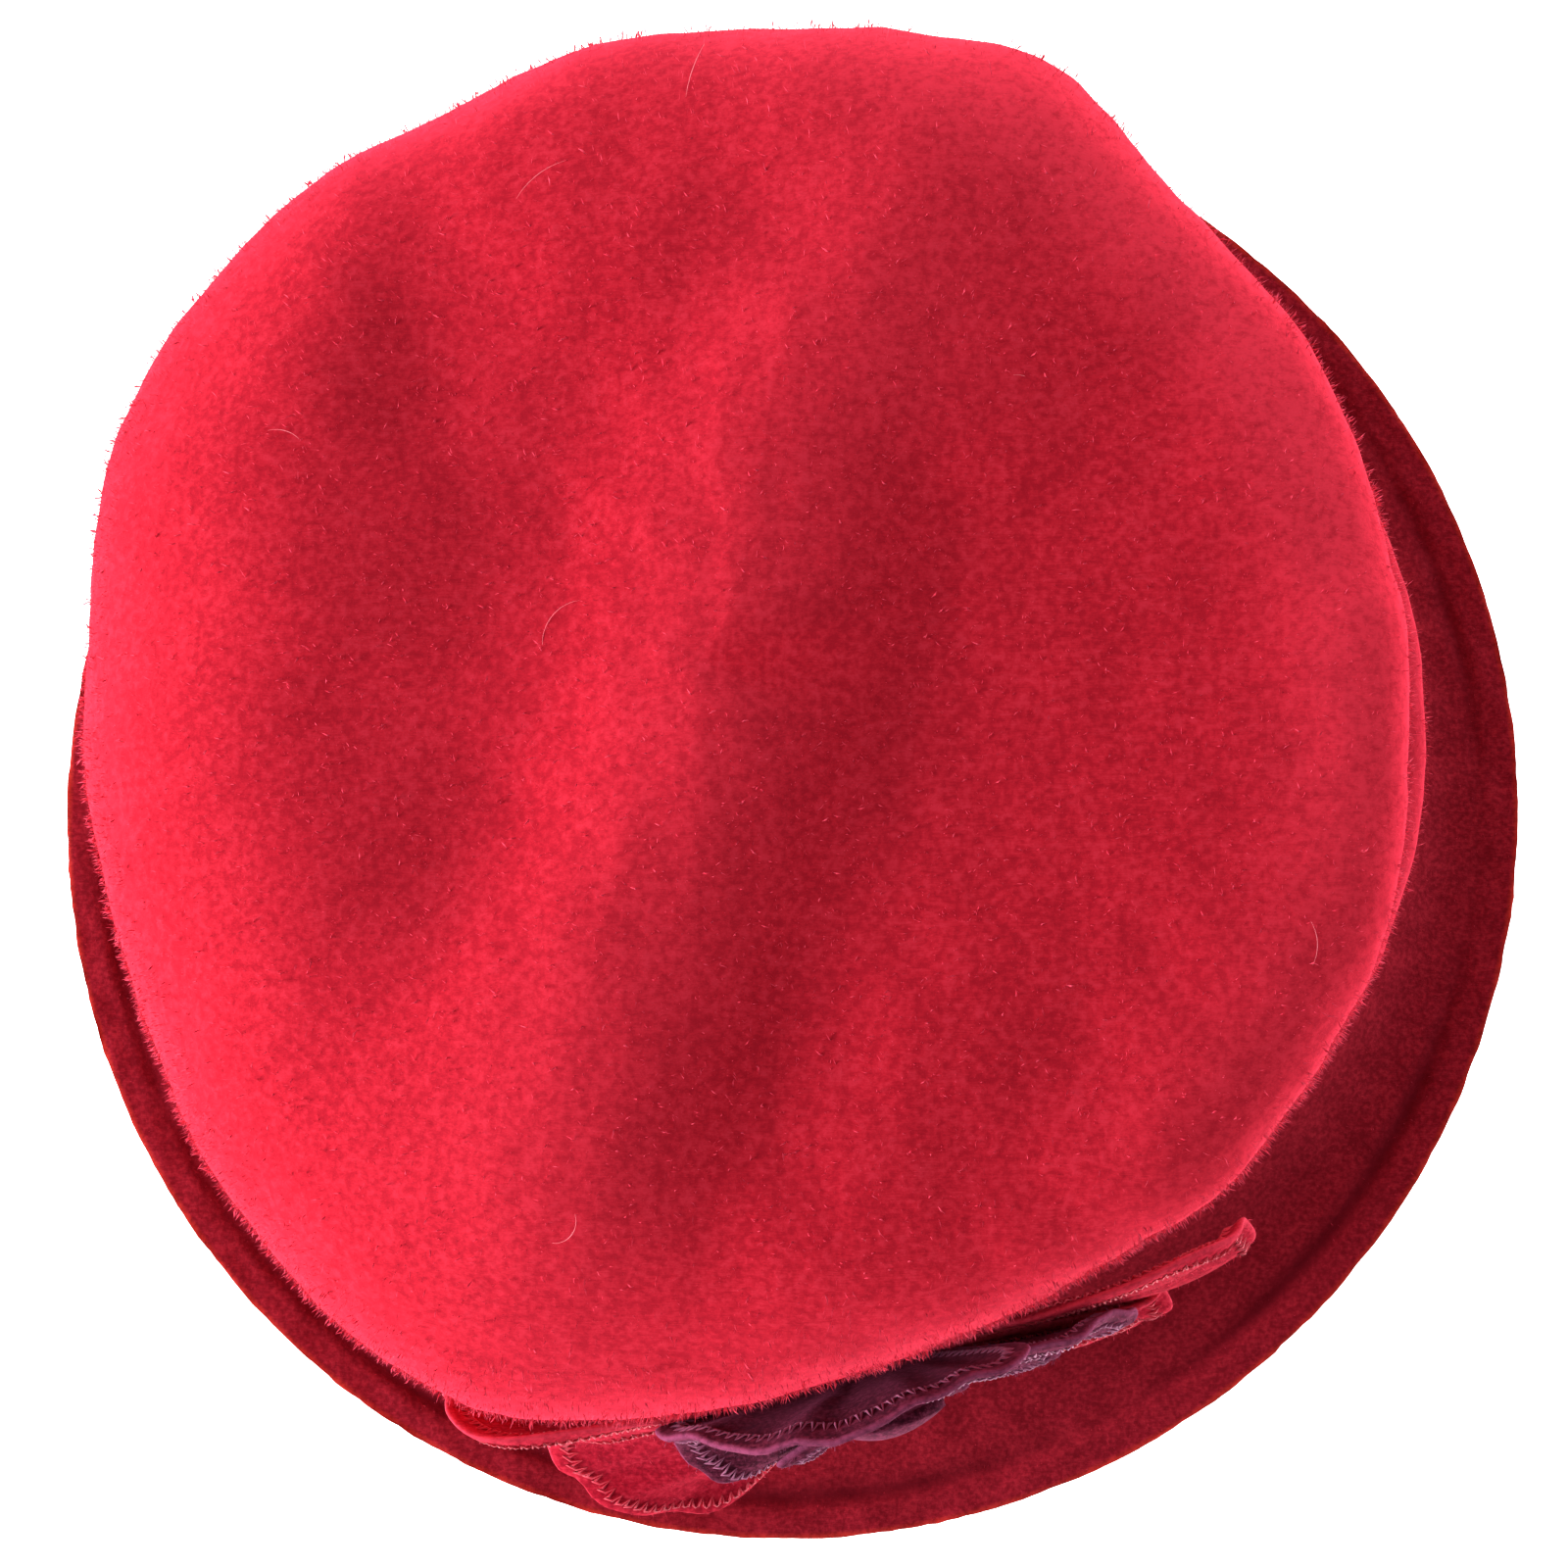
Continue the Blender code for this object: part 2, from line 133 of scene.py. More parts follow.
# %% [markdown]
# ## The camera, the table and the light
#
# The photograph looks almost straight down on the hat from a little to its front and right, as one
# does with a hat on a table. A long lens keeps the perspective weak. The camera comes first,
# because it decides which details are large enough to matter. A low, broad light from the left,
# like a window, gives the felt its bright left rim, draws the folds and leaves the brim on the
# right in shade. A weak fill light behind on the right picks out the far rim. The table glows, so
# it stays white and the thin edges of the felt light up.

# %% Camera
CAMERA_AIM = Vector((2.75, -2.45, 40.0)) * MM
CAMERA_SIDE = math.radians(27.0)  # from the front towards the right
CAMERA_RISE = math.radians(81.5)  # above the table
CAMERA_AWAY = 594.4 * MM
SENSOR = 36.0
LENS = 2.3 * SENSOR  # a long lens, for weak perspective

away = Vector((math.sin(CAMERA_SIDE) * math.cos(CAMERA_RISE),
               -math.cos(CAMERA_SIDE) * math.cos(CAMERA_RISE), math.sin(CAMERA_RISE)))
right_hand = Vector((0.0, 1.0, 0.0)).cross(away).normalized()
lens = bpy.data.cameras.new("camera")
lens.sensor_width = SENSOR
lens.lens = LENS
lens.clip_end = 10.0
camera = place_in_scene("camera", lens)
turned = Matrix((right_hand, away.cross(right_hand), away)).transposed().to_4x4()
camera.matrix_world = Matrix.Translation(CAMERA_AIM + away * CAMERA_AWAY) @ turned
bpy.context.scene.camera = camera
bpy.context.scene.view_settings.view_transform = "Standard"
print("camera at", [round(1000 * part) for part in camera.location], "mm")

# %% Table
TABLE_HALF = 3.0
TABLE_GLOW = 3.0  # bright enough to show as plain white beside the felt


def make_table():
    """A wide table that glows, as a backlit photo table does. It lights the felt from below."""
    mesh = bpy.data.meshes.new("table")
    around = ((-1, -1), (1, -1), (1, 1), (-1, 1))
    corners = [(x * TABLE_HALF, y * TABLE_HALF, 0.0) for x, y in around]
    mesh.from_pydata(corners, [], [(0, 1, 2, 3)])
    white, _ = new_material("matt white photo table", {
        "Base Color": colour("#F4F4F4"), "Roughness": 0.9,
        "Emission Color": colour("#FFFFFF"), "Emission Strength": TABLE_GLOW})
    mesh.materials.append(white)
    place_in_scene("table", mesh)


make_table()
print("table", 2 * TABLE_HALF, "m wide")

# %% Light
LIGHTS = (
    dict(name="window", place=(-1.38, -0.28, 0.42), size=0.9, watts=50.0),
    dict(name="overhead", place=(-0.1, 0.15, 1.4), size=1.2, watts=3.2),
    dict(name="fill", place=(0.95, 0.95, 0.40), size=0.8, watts=13.0),
)
LIGHT_AIM = Vector((0.0, 0.0, 80.0)) * MM  # the middle of the crown
SKY_STRENGTH = 0.27


def make_light(name, place, size, watts):
    """A square soft light that faces the crown."""
    light = bpy.data.lights.new(name, "AREA")
    light.size = size
    light.energy = watts
    lamp = place_in_scene(name, light)
    lamp.location = place
    lamp.rotation_euler = (LIGHT_AIM - lamp.location).to_track_quat("-Z", "Y").to_euler()


for row in LIGHTS:
    make_light(**row)
sky = bpy.data.worlds.new("studio")
sky.use_nodes = True
sky.node_tree.nodes["Background"].inputs["Color"].default_value = colour("#FFFFFF")
sky.node_tree.nodes["Background"].inputs["Strength"].default_value = SKY_STRENGTH
bpy.context.scene.world = sky
print("lights:", {row["name"]: row["watts"] for row in LIGHTS}, "watts")

# %% [markdown]
# ## Felt as a material
#
# Felt has no weave. Wool hairs lie in every direction and tangle, and they take dye unevenly, so
# the surface is mottled in patches a few millimetres wide, with short strokes of single hairs over
# them. Fulled wool is fully rough: no highlight, but a pale bloom where loose hairs catch the light
# from the side, which is what the sheen of the shader is for. The pattern is worked out from real
# sizes: patches of about 1.3 mm, and strokes 0.2 mm wide and 2.2 mm long in three directions.

# %% Felt material
PATCH = 1.3 * MM
STROKE_WIDTH = 0.20 * MM
STROKE_LENGTH = 2.2 * MM
STROKE_TURNS = (12.0, 74.0, 131.0)  # degrees; tangled hairs lie every way
STROKE_SHARE = 0.40  # strokes, as a share of what the patches count for
CLOUD_SIZE = 6  # wide clouds of dye, in patches
CLOUD_SHARE = 0.20
DYE_STOPS = (0.72, 0.86, 1.0)  # where deep, middle and pale dye lie on the mixed pattern
TUFT_GAIN = 2.0  # how sharply tufts of the rim's colour stand out
TUFT_START = -0.62
SHADED = "#5A0A16"  # painted shade: the colour that felt in a groove, fold or channel is darkened towards


def felt(name, deep, middle, pale, edge, bloom, sheen, relief=0.12 * MM, patch=PATCH):
    """Wool felt. Patches of dye run from deep through middle to pale, and strokes of hairs lie over
    them. Where the piece has an attribute named rim, on a cut edge or on a lit rim or crest, the
    edge
    colour comes through in tufts: a painted highlight. Where the second attribute is above zero,
    the
    felt is darker: painted shade, as in a groove."""
    material, shader = new_material(name, {
        "Roughness": 0.95, "IOR": 1.45, "Specular IOR Level": 0.04,
        "Sheen Weight": sheen, "Sheen Roughness": 0.45, "Sheen Tint": colour(bloom)})
    tree = material.node_tree
    place = add_node(tree, "ShaderNodeTexCoord").outputs["Object"]
    patches = add_node(tree, "ShaderNodeTexNoise", Vector=place, Scale=1.0 / patch, Detail=5.0,
                       Roughness=0.62).outputs["Fac"]
    clouds = add_node(tree, "ShaderNodeTexNoise", Vector=place, Scale=1.0 / (CLOUD_SIZE * patch),
                      Detail=2.0, Roughness=0.5).outputs["Fac"]
    strokes = 0.0
    for turn in STROKE_TURNS:
        laid = add_node(tree, "ShaderNodeMapping", Vector=place,
                        Rotation=[math.radians(turn / part) for part in (2, 3, 1)],
                        Scale=(1.0 / STROKE_LENGTH, 1.0 / STROKE_WIDTH, 1.0 / STROKE_WIDTH))
        hairs = add_node(tree, "ShaderNodeTexNoise", Vector=laid.outputs["Vector"], Scale=1.0,
                         Detail=1.0, Distortion=0.6).outputs["Fac"]
        strokes = add_node(tree, "ShaderNodeMath", dict(operation="MAXIMUM"), n0=hairs,
                           n1=strokes).outputs[0]
    mixed = add_node(tree, "ShaderNodeMath", dict(operation="MULTIPLY_ADD"), n0=strokes,
                     n1=STROKE_SHARE, n2=patches).outputs[0]
    shade = add_node(tree, "ShaderNodeMath", dict(operation="MULTIPLY_ADD"), n0=clouds,
                     n1=CLOUD_SHARE, n2=mixed).outputs[0]
    ramp = add_node(tree, "ShaderNodeValToRGB", Fac=shade)
    stops = ramp.color_ramp.elements
    stops.new(DYE_STOPS[1])
    for stop, position, dye in zip(stops, DYE_STOPS, (deep, middle, pale)):
        stop.position = position
        stop.color = colour(dye)
    # Painted highlight: the edge colour on cut edges and on the crown's lit rim and crests
    rim = add_node(tree, "ShaderNodeAttribute", dict(attribute_name="rim")).outputs["Fac"]
    tufts = add_node(tree, "ShaderNodeMath", dict(operation="MULTIPLY_ADD", use_clamp=True),
                     n0=mixed, n1=TUFT_GAIN, n2=TUFT_START).outputs[0]
    rim = add_node(tree, "ShaderNodeMath", dict(operation="MULTIPLY"), n0=rim, n1=tufts).outputs[0]
    dye_and_painted_highlight = add_node(tree, "ShaderNodeMix", dict(data_type="RGBA"), Factor=rim,
                    n6=ramp.outputs["Color"], n7=colour(edge)).outputs[2]
    # Painted shade: darker felt in grooves, valleys and the channel above the crown's ridge
    hollow = add_node(tree, "ShaderNodeAttribute", dict(attribute_name="hollow")).outputs["Fac"]
    with_painted_shade = add_node(tree, "ShaderNodeMix", dict(data_type="RGBA"), Factor=hollow,
                    n6=dye_and_painted_highlight, n7=colour(SHADED)).outputs[2]
    tree.links.new(with_painted_shade, shader.inputs["Base Color"])
    bump = add_node(tree, "ShaderNodeBump", Strength=0.8, Distance=relief, Height=mixed)
    tree.links.new(bump.outputs["Normal"], shader.inputs["Normal"])
    return material


# The fourth colour of each felt, its edge colour, is a painted highlight: on the crown's right rim
# and crests, and on the cut edges of the brim and the petals.
crown_felt = felt("brushed fulled wool felt, cherry red",
                  "#A81627", "#BC1D2E", "#C8273A", "#E63449", "#FF3E64", 0.5)
# The brim's dyes are darker than the crown's, partly as painted shade.
brim_felt = felt("dense fulled wool felt, cherry red",
                 "#74111E", "#891827", "#9A202E", "#DA4028", "#FF3858", 0.20,
                 relief=0.16 * MM, patch=0.9 * MM)
red_petal_felt = felt("thin wool felt, cherry red",
                      "#8C1024", "#AC182E", "#C0283E", "#CC384E", "#FF4868", 0.15,
                      relief=0.14 * MM, patch=0.9 * MM)
plum_petal_felt = felt("thin wool felt, plum",
                       "#34101E", "#561B2F", "#762F48", "#8C4264", "#D0608C", 0.25,
                       relief=0.14 * MM, patch=0.9 * MM)
print("felts:", [cloth.name for cloth in (crown_felt, brim_felt, red_petal_felt, plum_petal_felt)])

# %% [markdown]
# ## From a grid of points to a mesh
#
# Every shape below is a surface over two parameters, worked out as one numpy array of points in
# rings. Its faces are quads between neighbours on the rings, and where a shape ends in a pole, a
# fan of triangles closes it. With rings that run anticlockwise as seen from the last one, all faces
# point outwards.

# %% Grid helpers
def ring_faces(rows, columns, close_rows=False):
    """Quads between rings of points, whose columns run round and close on themselves."""
    row = np.arange(rows if close_rows else rows - 1)[:, None]
    column = np.arange(columns)[None, :]
    after = (column + 1) % columns
    above = (row + 1) % rows
    corners = (row * columns + column, row * columns + after, above * columns + after,
               above * columns + column)
    return np.stack(np.broadcast_arrays(*corners), axis=-1).reshape(-1, 4)


def looped(rings):
    """Shape of rings whose last joins the first: its points, quads and triangles."""
    quads = ring_faces(*rings.shape[:2], close_rows=True)
    return rings.reshape(-1, 3), quads, np.zeros((0, 3), int)


def capped(rings, poles):
    """Shape of rings between two poles, one before the first ring and one after the last."""
    rows, columns = rings.shape[:2]
    count = rows * columns
    column = np.arange(columns)
    after = (column + 1) % columns
    start = np.stack([after, column, np.full(columns, count)], axis=-1)
    end = np.stack([column + count - columns, after + count - columns,
                    np.full(columns, count + 1)], axis=-1)
    points = np.concatenate([rings.reshape(-1, 3), np.reshape(poles, (2, 3))])
    return points, ring_faces(rows, columns), np.concatenate([start, end])


def joined(shapes):
    """Several shapes as one: the corners of each start after the last point of those before it."""
    firsts = np.cumsum([0] + [len(points) for points, _, _ in shapes])
    quads = np.concatenate([shape[1] + first for shape, first in zip(shapes, firsts)])
    triangles = np.concatenate([shape[2] + first for shape, first in zip(shapes, firsts)])
    return np.concatenate([points for points, _, _ in shapes]), quads, triangles


def new_piece(name, shape, material, **values):
    """A mesh object of a shape. values has, under names that the material reads, a number for each
    of its points."""
    points, quads, triangles = shape
    mesh = bpy.data.meshes.new(name)
    corners = np.concatenate([quads.ravel(), triangles.ravel()])
    starts = np.append(4 * np.arange(len(quads)), 4 * len(quads) + 3 * np.arange(len(triangles)))
    mesh.vertices.add(len(points))
    mesh.vertices.foreach_set("co", points.ravel())
    mesh.loops.add(len(corners))
    mesh.loops.foreach_set("vertex_index", corners)
    mesh.polygons.add(len(starts))
    mesh.polygons.foreach_set("loop_start", starts)
    mesh.update(calc_edges=True)
    mesh.shade_smooth()
    mesh.materials.append(material)
    for key, numbers in values.items():
        layer = mesh.attributes.new(key, "FLOAT", "POINT")
        layer.data.foreach_set("value", np.asarray(numbers, np.float32).ravel())
    return place_in_scene(name, mesh)


def hand_over(piece, slot, *nodes):
    """The piece rides with the hat and stands for plain nodes, which are hidden. slot is not used.
    """
    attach(piece, "root")
    if nodes:
        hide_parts(*nodes)
    print(piece.name, "has", len(piece.data.loops) - 2 * len(piece.data.polygons), "triangles")


print("quads between 4 rings of 8 points:", len(ring_faces(4, 8)))

# %% [markdown]
# ## The crown's shape
#
# The crown is a bag of soft felt over no form, so it has settled under its own weight. Its wall
# rolls out in a low ridge on the left and right, its rim isn't round, and the top has sunk into
# long soft folds. One could sculpt that or drop a cloth, but the folds in the photograph are few
# and large. So the crown is a formula: an oval head line that changes into the rim's outline on the
# way up, a superellipse over the top, and a list of folds, each a line that pulls the felt down.

# %% Outlines and folds of the crown
# Radius of the rim every 22.5 degrees from +X, as shares of CROWN_RADIUS
SHOULDER = (0.918, 0.912, 0.908, 0.952, 0.966, 0.974, 0.993, 0.985,
            0.948, 0.962, 1.014, 1.074, 1.005, 0.958, 0.968, 0.958)
# Shares of the rim's outline, the ridge and the pinch on the way up the wall
WALL = dict(
    rise=(0.00, 0.18, 0.38, 0.55, 0.70, 0.85, 1.00),
    shoulder=(0.00, 0.35, 0.65, 0.84, 0.94, 0.99, 1.00),
    ridge=(0.00, 0.55, 1.00, 0.30, 0.00, 0.00, 0.00),
    pinch=(0.00, 0.00, 0.00, 0.80, 1.00, 0.35, 0.00),
)
SHOULDER_RISE = 0.64  # height of the wall, as a share of CROWN_HEIGHT
SQUARENESS = (13.0, 8.5, 4.6, 3.0, 2.7, 2.7, 3.0, 7.0)  # every 45 degrees from +X
# Where the ridge rolls out: the middle and the spread of each roll in degrees
ROLLS = (
    dict(bearing=20.0, spread=48.0, share=1.45),
    dict(bearing=194.0, spread=30.0, share=1.10),
)
# Lines seen from above and widths in shares of CROWN_RADIUS, depths of FOLD_DEPTH; a crest is
# below zero
FOLDS = dict(
    long_crest=dict(line=((0.28, 0.66), (0.07, 0.10), (-0.20, -0.66)), width=0.20, depth=-0.70),
    long_valley=dict(line=((0.30, 0.20), (0.25, -0.12), (0.05, -0.62)), width=0.12, depth=0.36),
    left_hollow=dict(line=((-0.37, 0.42), (-0.35, 0.05), (-0.37, -0.26)), width=0.20, depth=0.42),
    left_crease=dict(line=((-0.45, 0.70), (-0.44, 0.55), (-0.42, 0.40)), width=0.09, depth=0.17),
    upper_crest=dict(line=((-0.20, 0.70), (-0.04, 0.74), (0.14, 0.76)), width=0.20, depth=-0.16),
    right_rim=dict(line=((0.44, 0.84), (0.76, 0.52), (0.90, 0.10), (0.86, -0.34), (0.66, -0.64)),
                   width=0.13, depth=-0.50),
    rim_dent=dict(line=((0.68, 0.52), (0.755, 0.39), (0.81, 0.27), (0.85, 0.14)),
                  width=0.055, depth=0.22),
)
FOLD_START = 0.8  # level on the crown from which folds come in
FOLD_BLEND = 0.4


def held(value):
    """A value held between 0 and 1."""
    return np.clip(value, 0.0, 1.0)


def bell(distance, width):
    """Bell curve: 1 in the middle, and about a third of that one width away."""
    return np.exp(-(distance / width) ** 2)


def unit(vectors):
    """Vectors divided by their lengths."""
    return vectors / np.maximum(np.linalg.norm(vectors, axis=-1, keepdims=True), 1e-12)


def smooth_round(table, bearing):
    """Cubic curve through evenly spaced rows of a table that closes on itself."""
    rows = np.asarray(table)
    count = len(rows)
    place = np.mod(np.asarray(bearing, float), 360.0) / 360.0 * count
    first = np.floor(place).astype(int)
    t = place - first
    p0, p1, p2, p3 = (rows[(first + step) % count] for step in (-1, 0, 1, 2))
    bend = (2 * p0 - 5 * p1 + 4 * p2 - p3) * t ** 2 + (3 * p1 - p0 - 3 * p2 + p3) * t ** 3
    return p1 + 0.5 * ((p2 - p0) * t + bend)


def wall_share(line, place):
    """Cubic curve through one line of the wall's table, read at shares of the wall's height."""
    known, values = np.array(WALL["rise"]), np.array(WALL[line])
    slopes = np.gradient(values, known)
    place = held(place)
    first = np.clip(np.searchsorted(known, place, side="right") - 1, 0, len(known) - 2)
    gap = known[first + 1] - known[first]
    t = (place - known[first]) / gap
    start = values[first] * (1 + 2 * t) * (1 - t) ** 2 + values[first + 1] * t * t * (3 - 2 * t)
    return start + gap * (slopes[first] * t * (1 - t) ** 2 - slopes[first + 1] * t * t * (1 - t))


def head_line(bearing):
    """Radius of the oval head opening: the polar form of an ellipse."""
    turn = np.radians(bearing)
    long_half = HEAD_LENGTH / 2
    short_half = HEAD_WIDTH / 2
    return long_half * short_half / np.hypot(short_half * np.cos(turn), long_half * np.sin(turn))


def roll_share(bearing):
    """How much of the lower ridge shows at a bearing: a bell curve round each roll's middle."""
    share = 0.0
    for roll in ROLLS:
        away = np.mod(np.asarray(bearing, float) - roll["bearing"] + 180.0, 360.0) - 180.0
        share = share + roll["share"] * bell(away, roll["spread"])
    return share


def wall_radius(bearing, rise):
    """Radius of the wall: the head line blended into the rim's outline, plus ridge, less pinch."""
    change = wall_share("shoulder", rise)
    shoulder = CROWN_RADIUS * smooth_round(SHOULDER, bearing)
    plain = head_line(bearing) * (1 - change) + shoulder * change
    settled = wall_share("ridge", rise) * RIDGE_OUT - wall_share("pinch", rise) * PINCH_IN
    return plain + roll_share(bearing) * settled


def fold_depth(x, y):
    """Depth of the folds at a place seen from above: a bell curve of the distance to each line."""
    depth = 0.0
    for fold in FOLDS.values():
        points = [np.array(point) * CROWN_RADIUS for point in fold["line"]]
        nearest = np.full(np.shape(x), np.inf)
        for start, end in zip(points[:-1], points[1:]):
            run = end - start
            along = held(((x - start[0]) * run[0] + (y - start[1]) * run[1]) / (run @ run))
            away = np.hypot(x - start[0] - along * run[0], y - start[1] - along * run[1])
            nearest = np.minimum(nearest, away)
        depth = depth + fold["depth"] * FOLD_DEPTH * bell(nearest, fold["width"] * CROWN_RADIUS)
    return depth


def outwards(points):
    """Directions straight away from the hat's axis: x and y alone, at unit length."""
    return unit(points * np.array([1.0, 1.0, 0.0]))


def from_axis(radius, bearing, height):
    """Points from their distance to the hat's axis, their bearing and their height."""
    turn = np.radians(bearing)
    return np.stack([radius * np.cos(turn), radius * np.sin(turn), height], axis=-1)


def crown_face(bearing, level):
    """Outer face of the crown. Level 0 to 1 climbs the wall, 1 to 2 crosses the rim to the tip on a
    superellipse, and the folds push the felt towards the crown's heart."""
    bearing, level = np.broadcast_arrays(np.asarray(bearing, float), np.asarray(level, float))
    rise = held(level)
    over = held(level - 1.0) * math.pi / 2
    power = 2.0 / smooth_round(SQUARENESS, bearing)
    inward = held(np.cos(over)) ** power
    radius = wall_radius(bearing, rise) * np.where(level > 1.0, inward, 1.0)
    wall_height = SHOULDER_RISE * CROWN_HEIGHT
    height = BRIM_DROP + wall_height * rise + (CROWN_HEIGHT - wall_height) * np.sin(over) ** power
    point = from_axis(radius, bearing, height)
    outward = unit(point - np.array([0.0, 0.0, BRIM_DROP + wall_height / 2]))
    settle = fold_depth(point[..., 0], point[..., 1]) * held((level - FOLD_START) / FOLD_BLEND)
    return point - outward * settle[..., None]


check = crown_face(0.0, np.array([0.0, 1.0, 2.0]))
print("crown at the head line, the rim and the tip:", (1000 * check).round(1).tolist())
print("folds of the top:", ", ".join(FOLDS))

# %% [markdown]
# ## Unevenness
#
# Nothing in fulled wool is quite even. A smooth random field that any point in space can be looked
# up in gives gentle lumps that don't stretch or repeat. It could be a noise texture on a Displace
# modifier. A sum of plane waves in random directions does the same in one line of numpy, stays
# equal for the same seed, and also works for the brim's edge and the lie of the nap.

# %% A smooth random field
WAVE_LENGTHS = (0.75, 1.35)  # shortest and longest wave, as shares of the size


def lumps(points, size, seed, waves=28):
    """Smooth random field of points in space: the mean of plane waves of about one wavelength in
    random directions, scaled to a spread of about one."""
    random = np.random.default_rng(seed)
    directions = unit(random.normal(size=(waves, 3)))
    lengths = size * random.uniform(*WAVE_LENGTHS, waves)
    phases = random.uniform(0.0, 2 * math.pi, waves)
    angles = 2 * math.pi * (points @ directions.T) / lengths + phases
    return np.cos(angles).sum(axis=-1) * math.sqrt(2.0 / waves)


def all_lumps(points, rows):
    """Lumps of several sizes together: the sum of one field for each row of a table."""
    return sum(row["height"] * lumps(points, row["size"], row["seed"]) for row in rows)


def grid_normals(grid):
    """Unit normals of a grid of points whose columns run round: the cross product of the step to
    the next column and the step to the next row."""
    across = np.roll(grid, -1, axis=1) - np.roll(grid, 1, axis=1)
    return unit(np.cross(across, np.gradient(grid, axis=0)))


places = np.random.default_rng(1).random((500, 3))
print("spread of the field:", round(float(lumps(places, 0.1, 2).std()), 2))

# %% [markdown]
# ## The crown as a mesh
#
# The outer face has points about 1.3 mm apart, so it also carries lumps of a few millimetres. The
# inner face is the same surface one felt's thickness further in, with fewer rows. The rings run
# from the tip down the inner face, over the hem at the head line and up the outer face to the tip,
# so the crown is one closed shell, hollow where the head goes.
#
# Fulled felt isn't one tone, and light and shade are also painted into it. It is painted paler
# along crests and on the right rim, a painted highlight, and darker in valleys and in the channel
# above the wall's ridge, painted shade where shade falls. Two values for each point, rim and a
# second one, tell the material so.

# %% Crown
BEARINGS = 400
WALL_ROWS = 44
DOME_ROWS = 76
INNER_STEP = 3  # the inner face keeps every third row
LUMPS = (
    dict(size=34 * MM, height=0.35 * MM, seed=11),
    dict(size=13 * MM, height=0.10 * MM, seed=12),
    dict(size=5.0 * MM, height=0.05 * MM, seed=13),
)
# Painted light and shade. Reach and width as shares of the rim's radius; share is the most that a
# tone counts
TONE_BLEND = 0.05  # levels past the rim over which the top's tones come in
PAINTED_LIGHT_RIM = dict(bearing=36.0, spread=56.0, reach=0.95, width=0.10, share=0.95)
PAINTED_LIGHT_CREST = dict(share=0.28, depth=0.70)  # depth: share of FOLD_DEPTH where the tone is full
PAINTED_SHADE_VALLEY = dict(share=0.18, depth=0.24)
PAINTED_SHADE_CHANNEL = dict(rise=0.48, width=0.09, share=0.75)  # rise: share of the wall's height


def walked(path):
    """How far one has walked at each point of a path."""
    return np.append(0.0, np.cumsum(np.linalg.norm(np.diff(path, axis=0), axis=1)))


def crown_rows():
    """Levels of the crown's rows: even up the wall, then an even walk over the rim to the tip."""
    fine = np.linspace(1.0, 2.0, 600)
    run = walked(crown_face(0.0, fine))
    dome = np.interp(np.linspace(0.0, run[-1], DOME_ROWS + 2)[1:-1], run, fine)
    return np.concatenate([np.linspace(0.0, 1.0, WALL_ROWS), dome])


def crown_painted_light_and_shade(grid, levels):
    """Shares of painted highlight and of painted shade: bell curves round the right rim and the
    channel above the ridge, and the depth of the folds, below zero on crests and above it in
    valleys."""
    x, y = grid[..., 0], grid[..., 1]
    bearing = np.degrees(np.arctan2(y, x))
    top = held((levels - 1.0) / TONE_BLEND)
    depth = fold_depth(x, y) * top / FOLD_DEPTH
    reach = np.hypot(x, y) / (CROWN_RADIUS * smooth_round(SHOULDER, bearing))
    rim = bell(bearing - PAINTED_LIGHT_RIM["bearing"], PAINTED_LIGHT_RIM["spread"])
    rim = rim * bell(reach - PAINTED_LIGHT_RIM["reach"], PAINTED_LIGHT_RIM["width"]) * top
    channel = bell(levels - PAINTED_SHADE_CHANNEL["rise"], PAINTED_SHADE_CHANNEL["width"]) * held(roll_share(bearing))
    # Painted highlight on the right rim and crests; painted shade in the channel and the valleys
    pale = PAINTED_LIGHT_RIM["share"] * rim + PAINTED_LIGHT_CREST["share"] * held(-depth / PAINTED_LIGHT_CREST["depth"])
    painted_shade_share = PAINTED_SHADE_CHANNEL["share"] * channel
    return pale, painted_shade_share + PAINTED_SHADE_VALLEY["share"] * held(depth / PAINTED_SHADE_VALLEY["depth"])


def make_crown():
    """The inner face from the tip to the head line, then the outer face up to the tip again."""
    bearings = np.arange(BEARINGS) * 360.0 / BEARINGS
    levels = crown_rows()[:, None]
    plain = crown_face(bearings[None, :], levels)
    normals = grid_normals(plain)
    normals[0, :, 2] = 0.0
    normals[0] = unit(normals[0])
    outer = plain + normals * all_lumps(plain, LUMPS)[..., None]
    kept = np.append(np.arange(len(plain) - 1, 0, -INNER_STEP), 0)
    inner = (plain - normals * CROWN_FELT)[kept]
    tip = crown_face(0.0, 2.0)
    shape = capped(np.concatenate([inner, outer]), [tip - np.array([0.0, 0.0, CROWN_FELT]), tip])
    inside, poles = np.zeros(inner.shape[0] * BEARINGS), np.zeros(2)
    # The outer face carries the painted highlight and the painted shade, the inner face none
    rim, hollow = (np.concatenate([inside, tone.ravel(), poles])
                   for tone in crown_painted_light_and_shade(plain, levels))
    return new_piece("crown_shell", shape, crown_felt, rim=rim, hollow=hollow), outer


crown, crown_grid = make_crown()
hand_over(crown, "crown_felt", "crown")

# %% [markdown]
# ## The brim
#
# The brim sweeps out like a bell and ends in a flat band that lies on the table. It was cut with
# shears, so its edge wavers a little, and a soft groove runs round the band, where it was pressed.
# The groove is deep in places and nearly gone in others, and is darkened with painted shade. The
# section is one closed loop of points, from the edge over the top to the head line and back
# underneath, and that loop is carried round the oval. The cut edge is painted paler than the
# faces: a painted highlight.

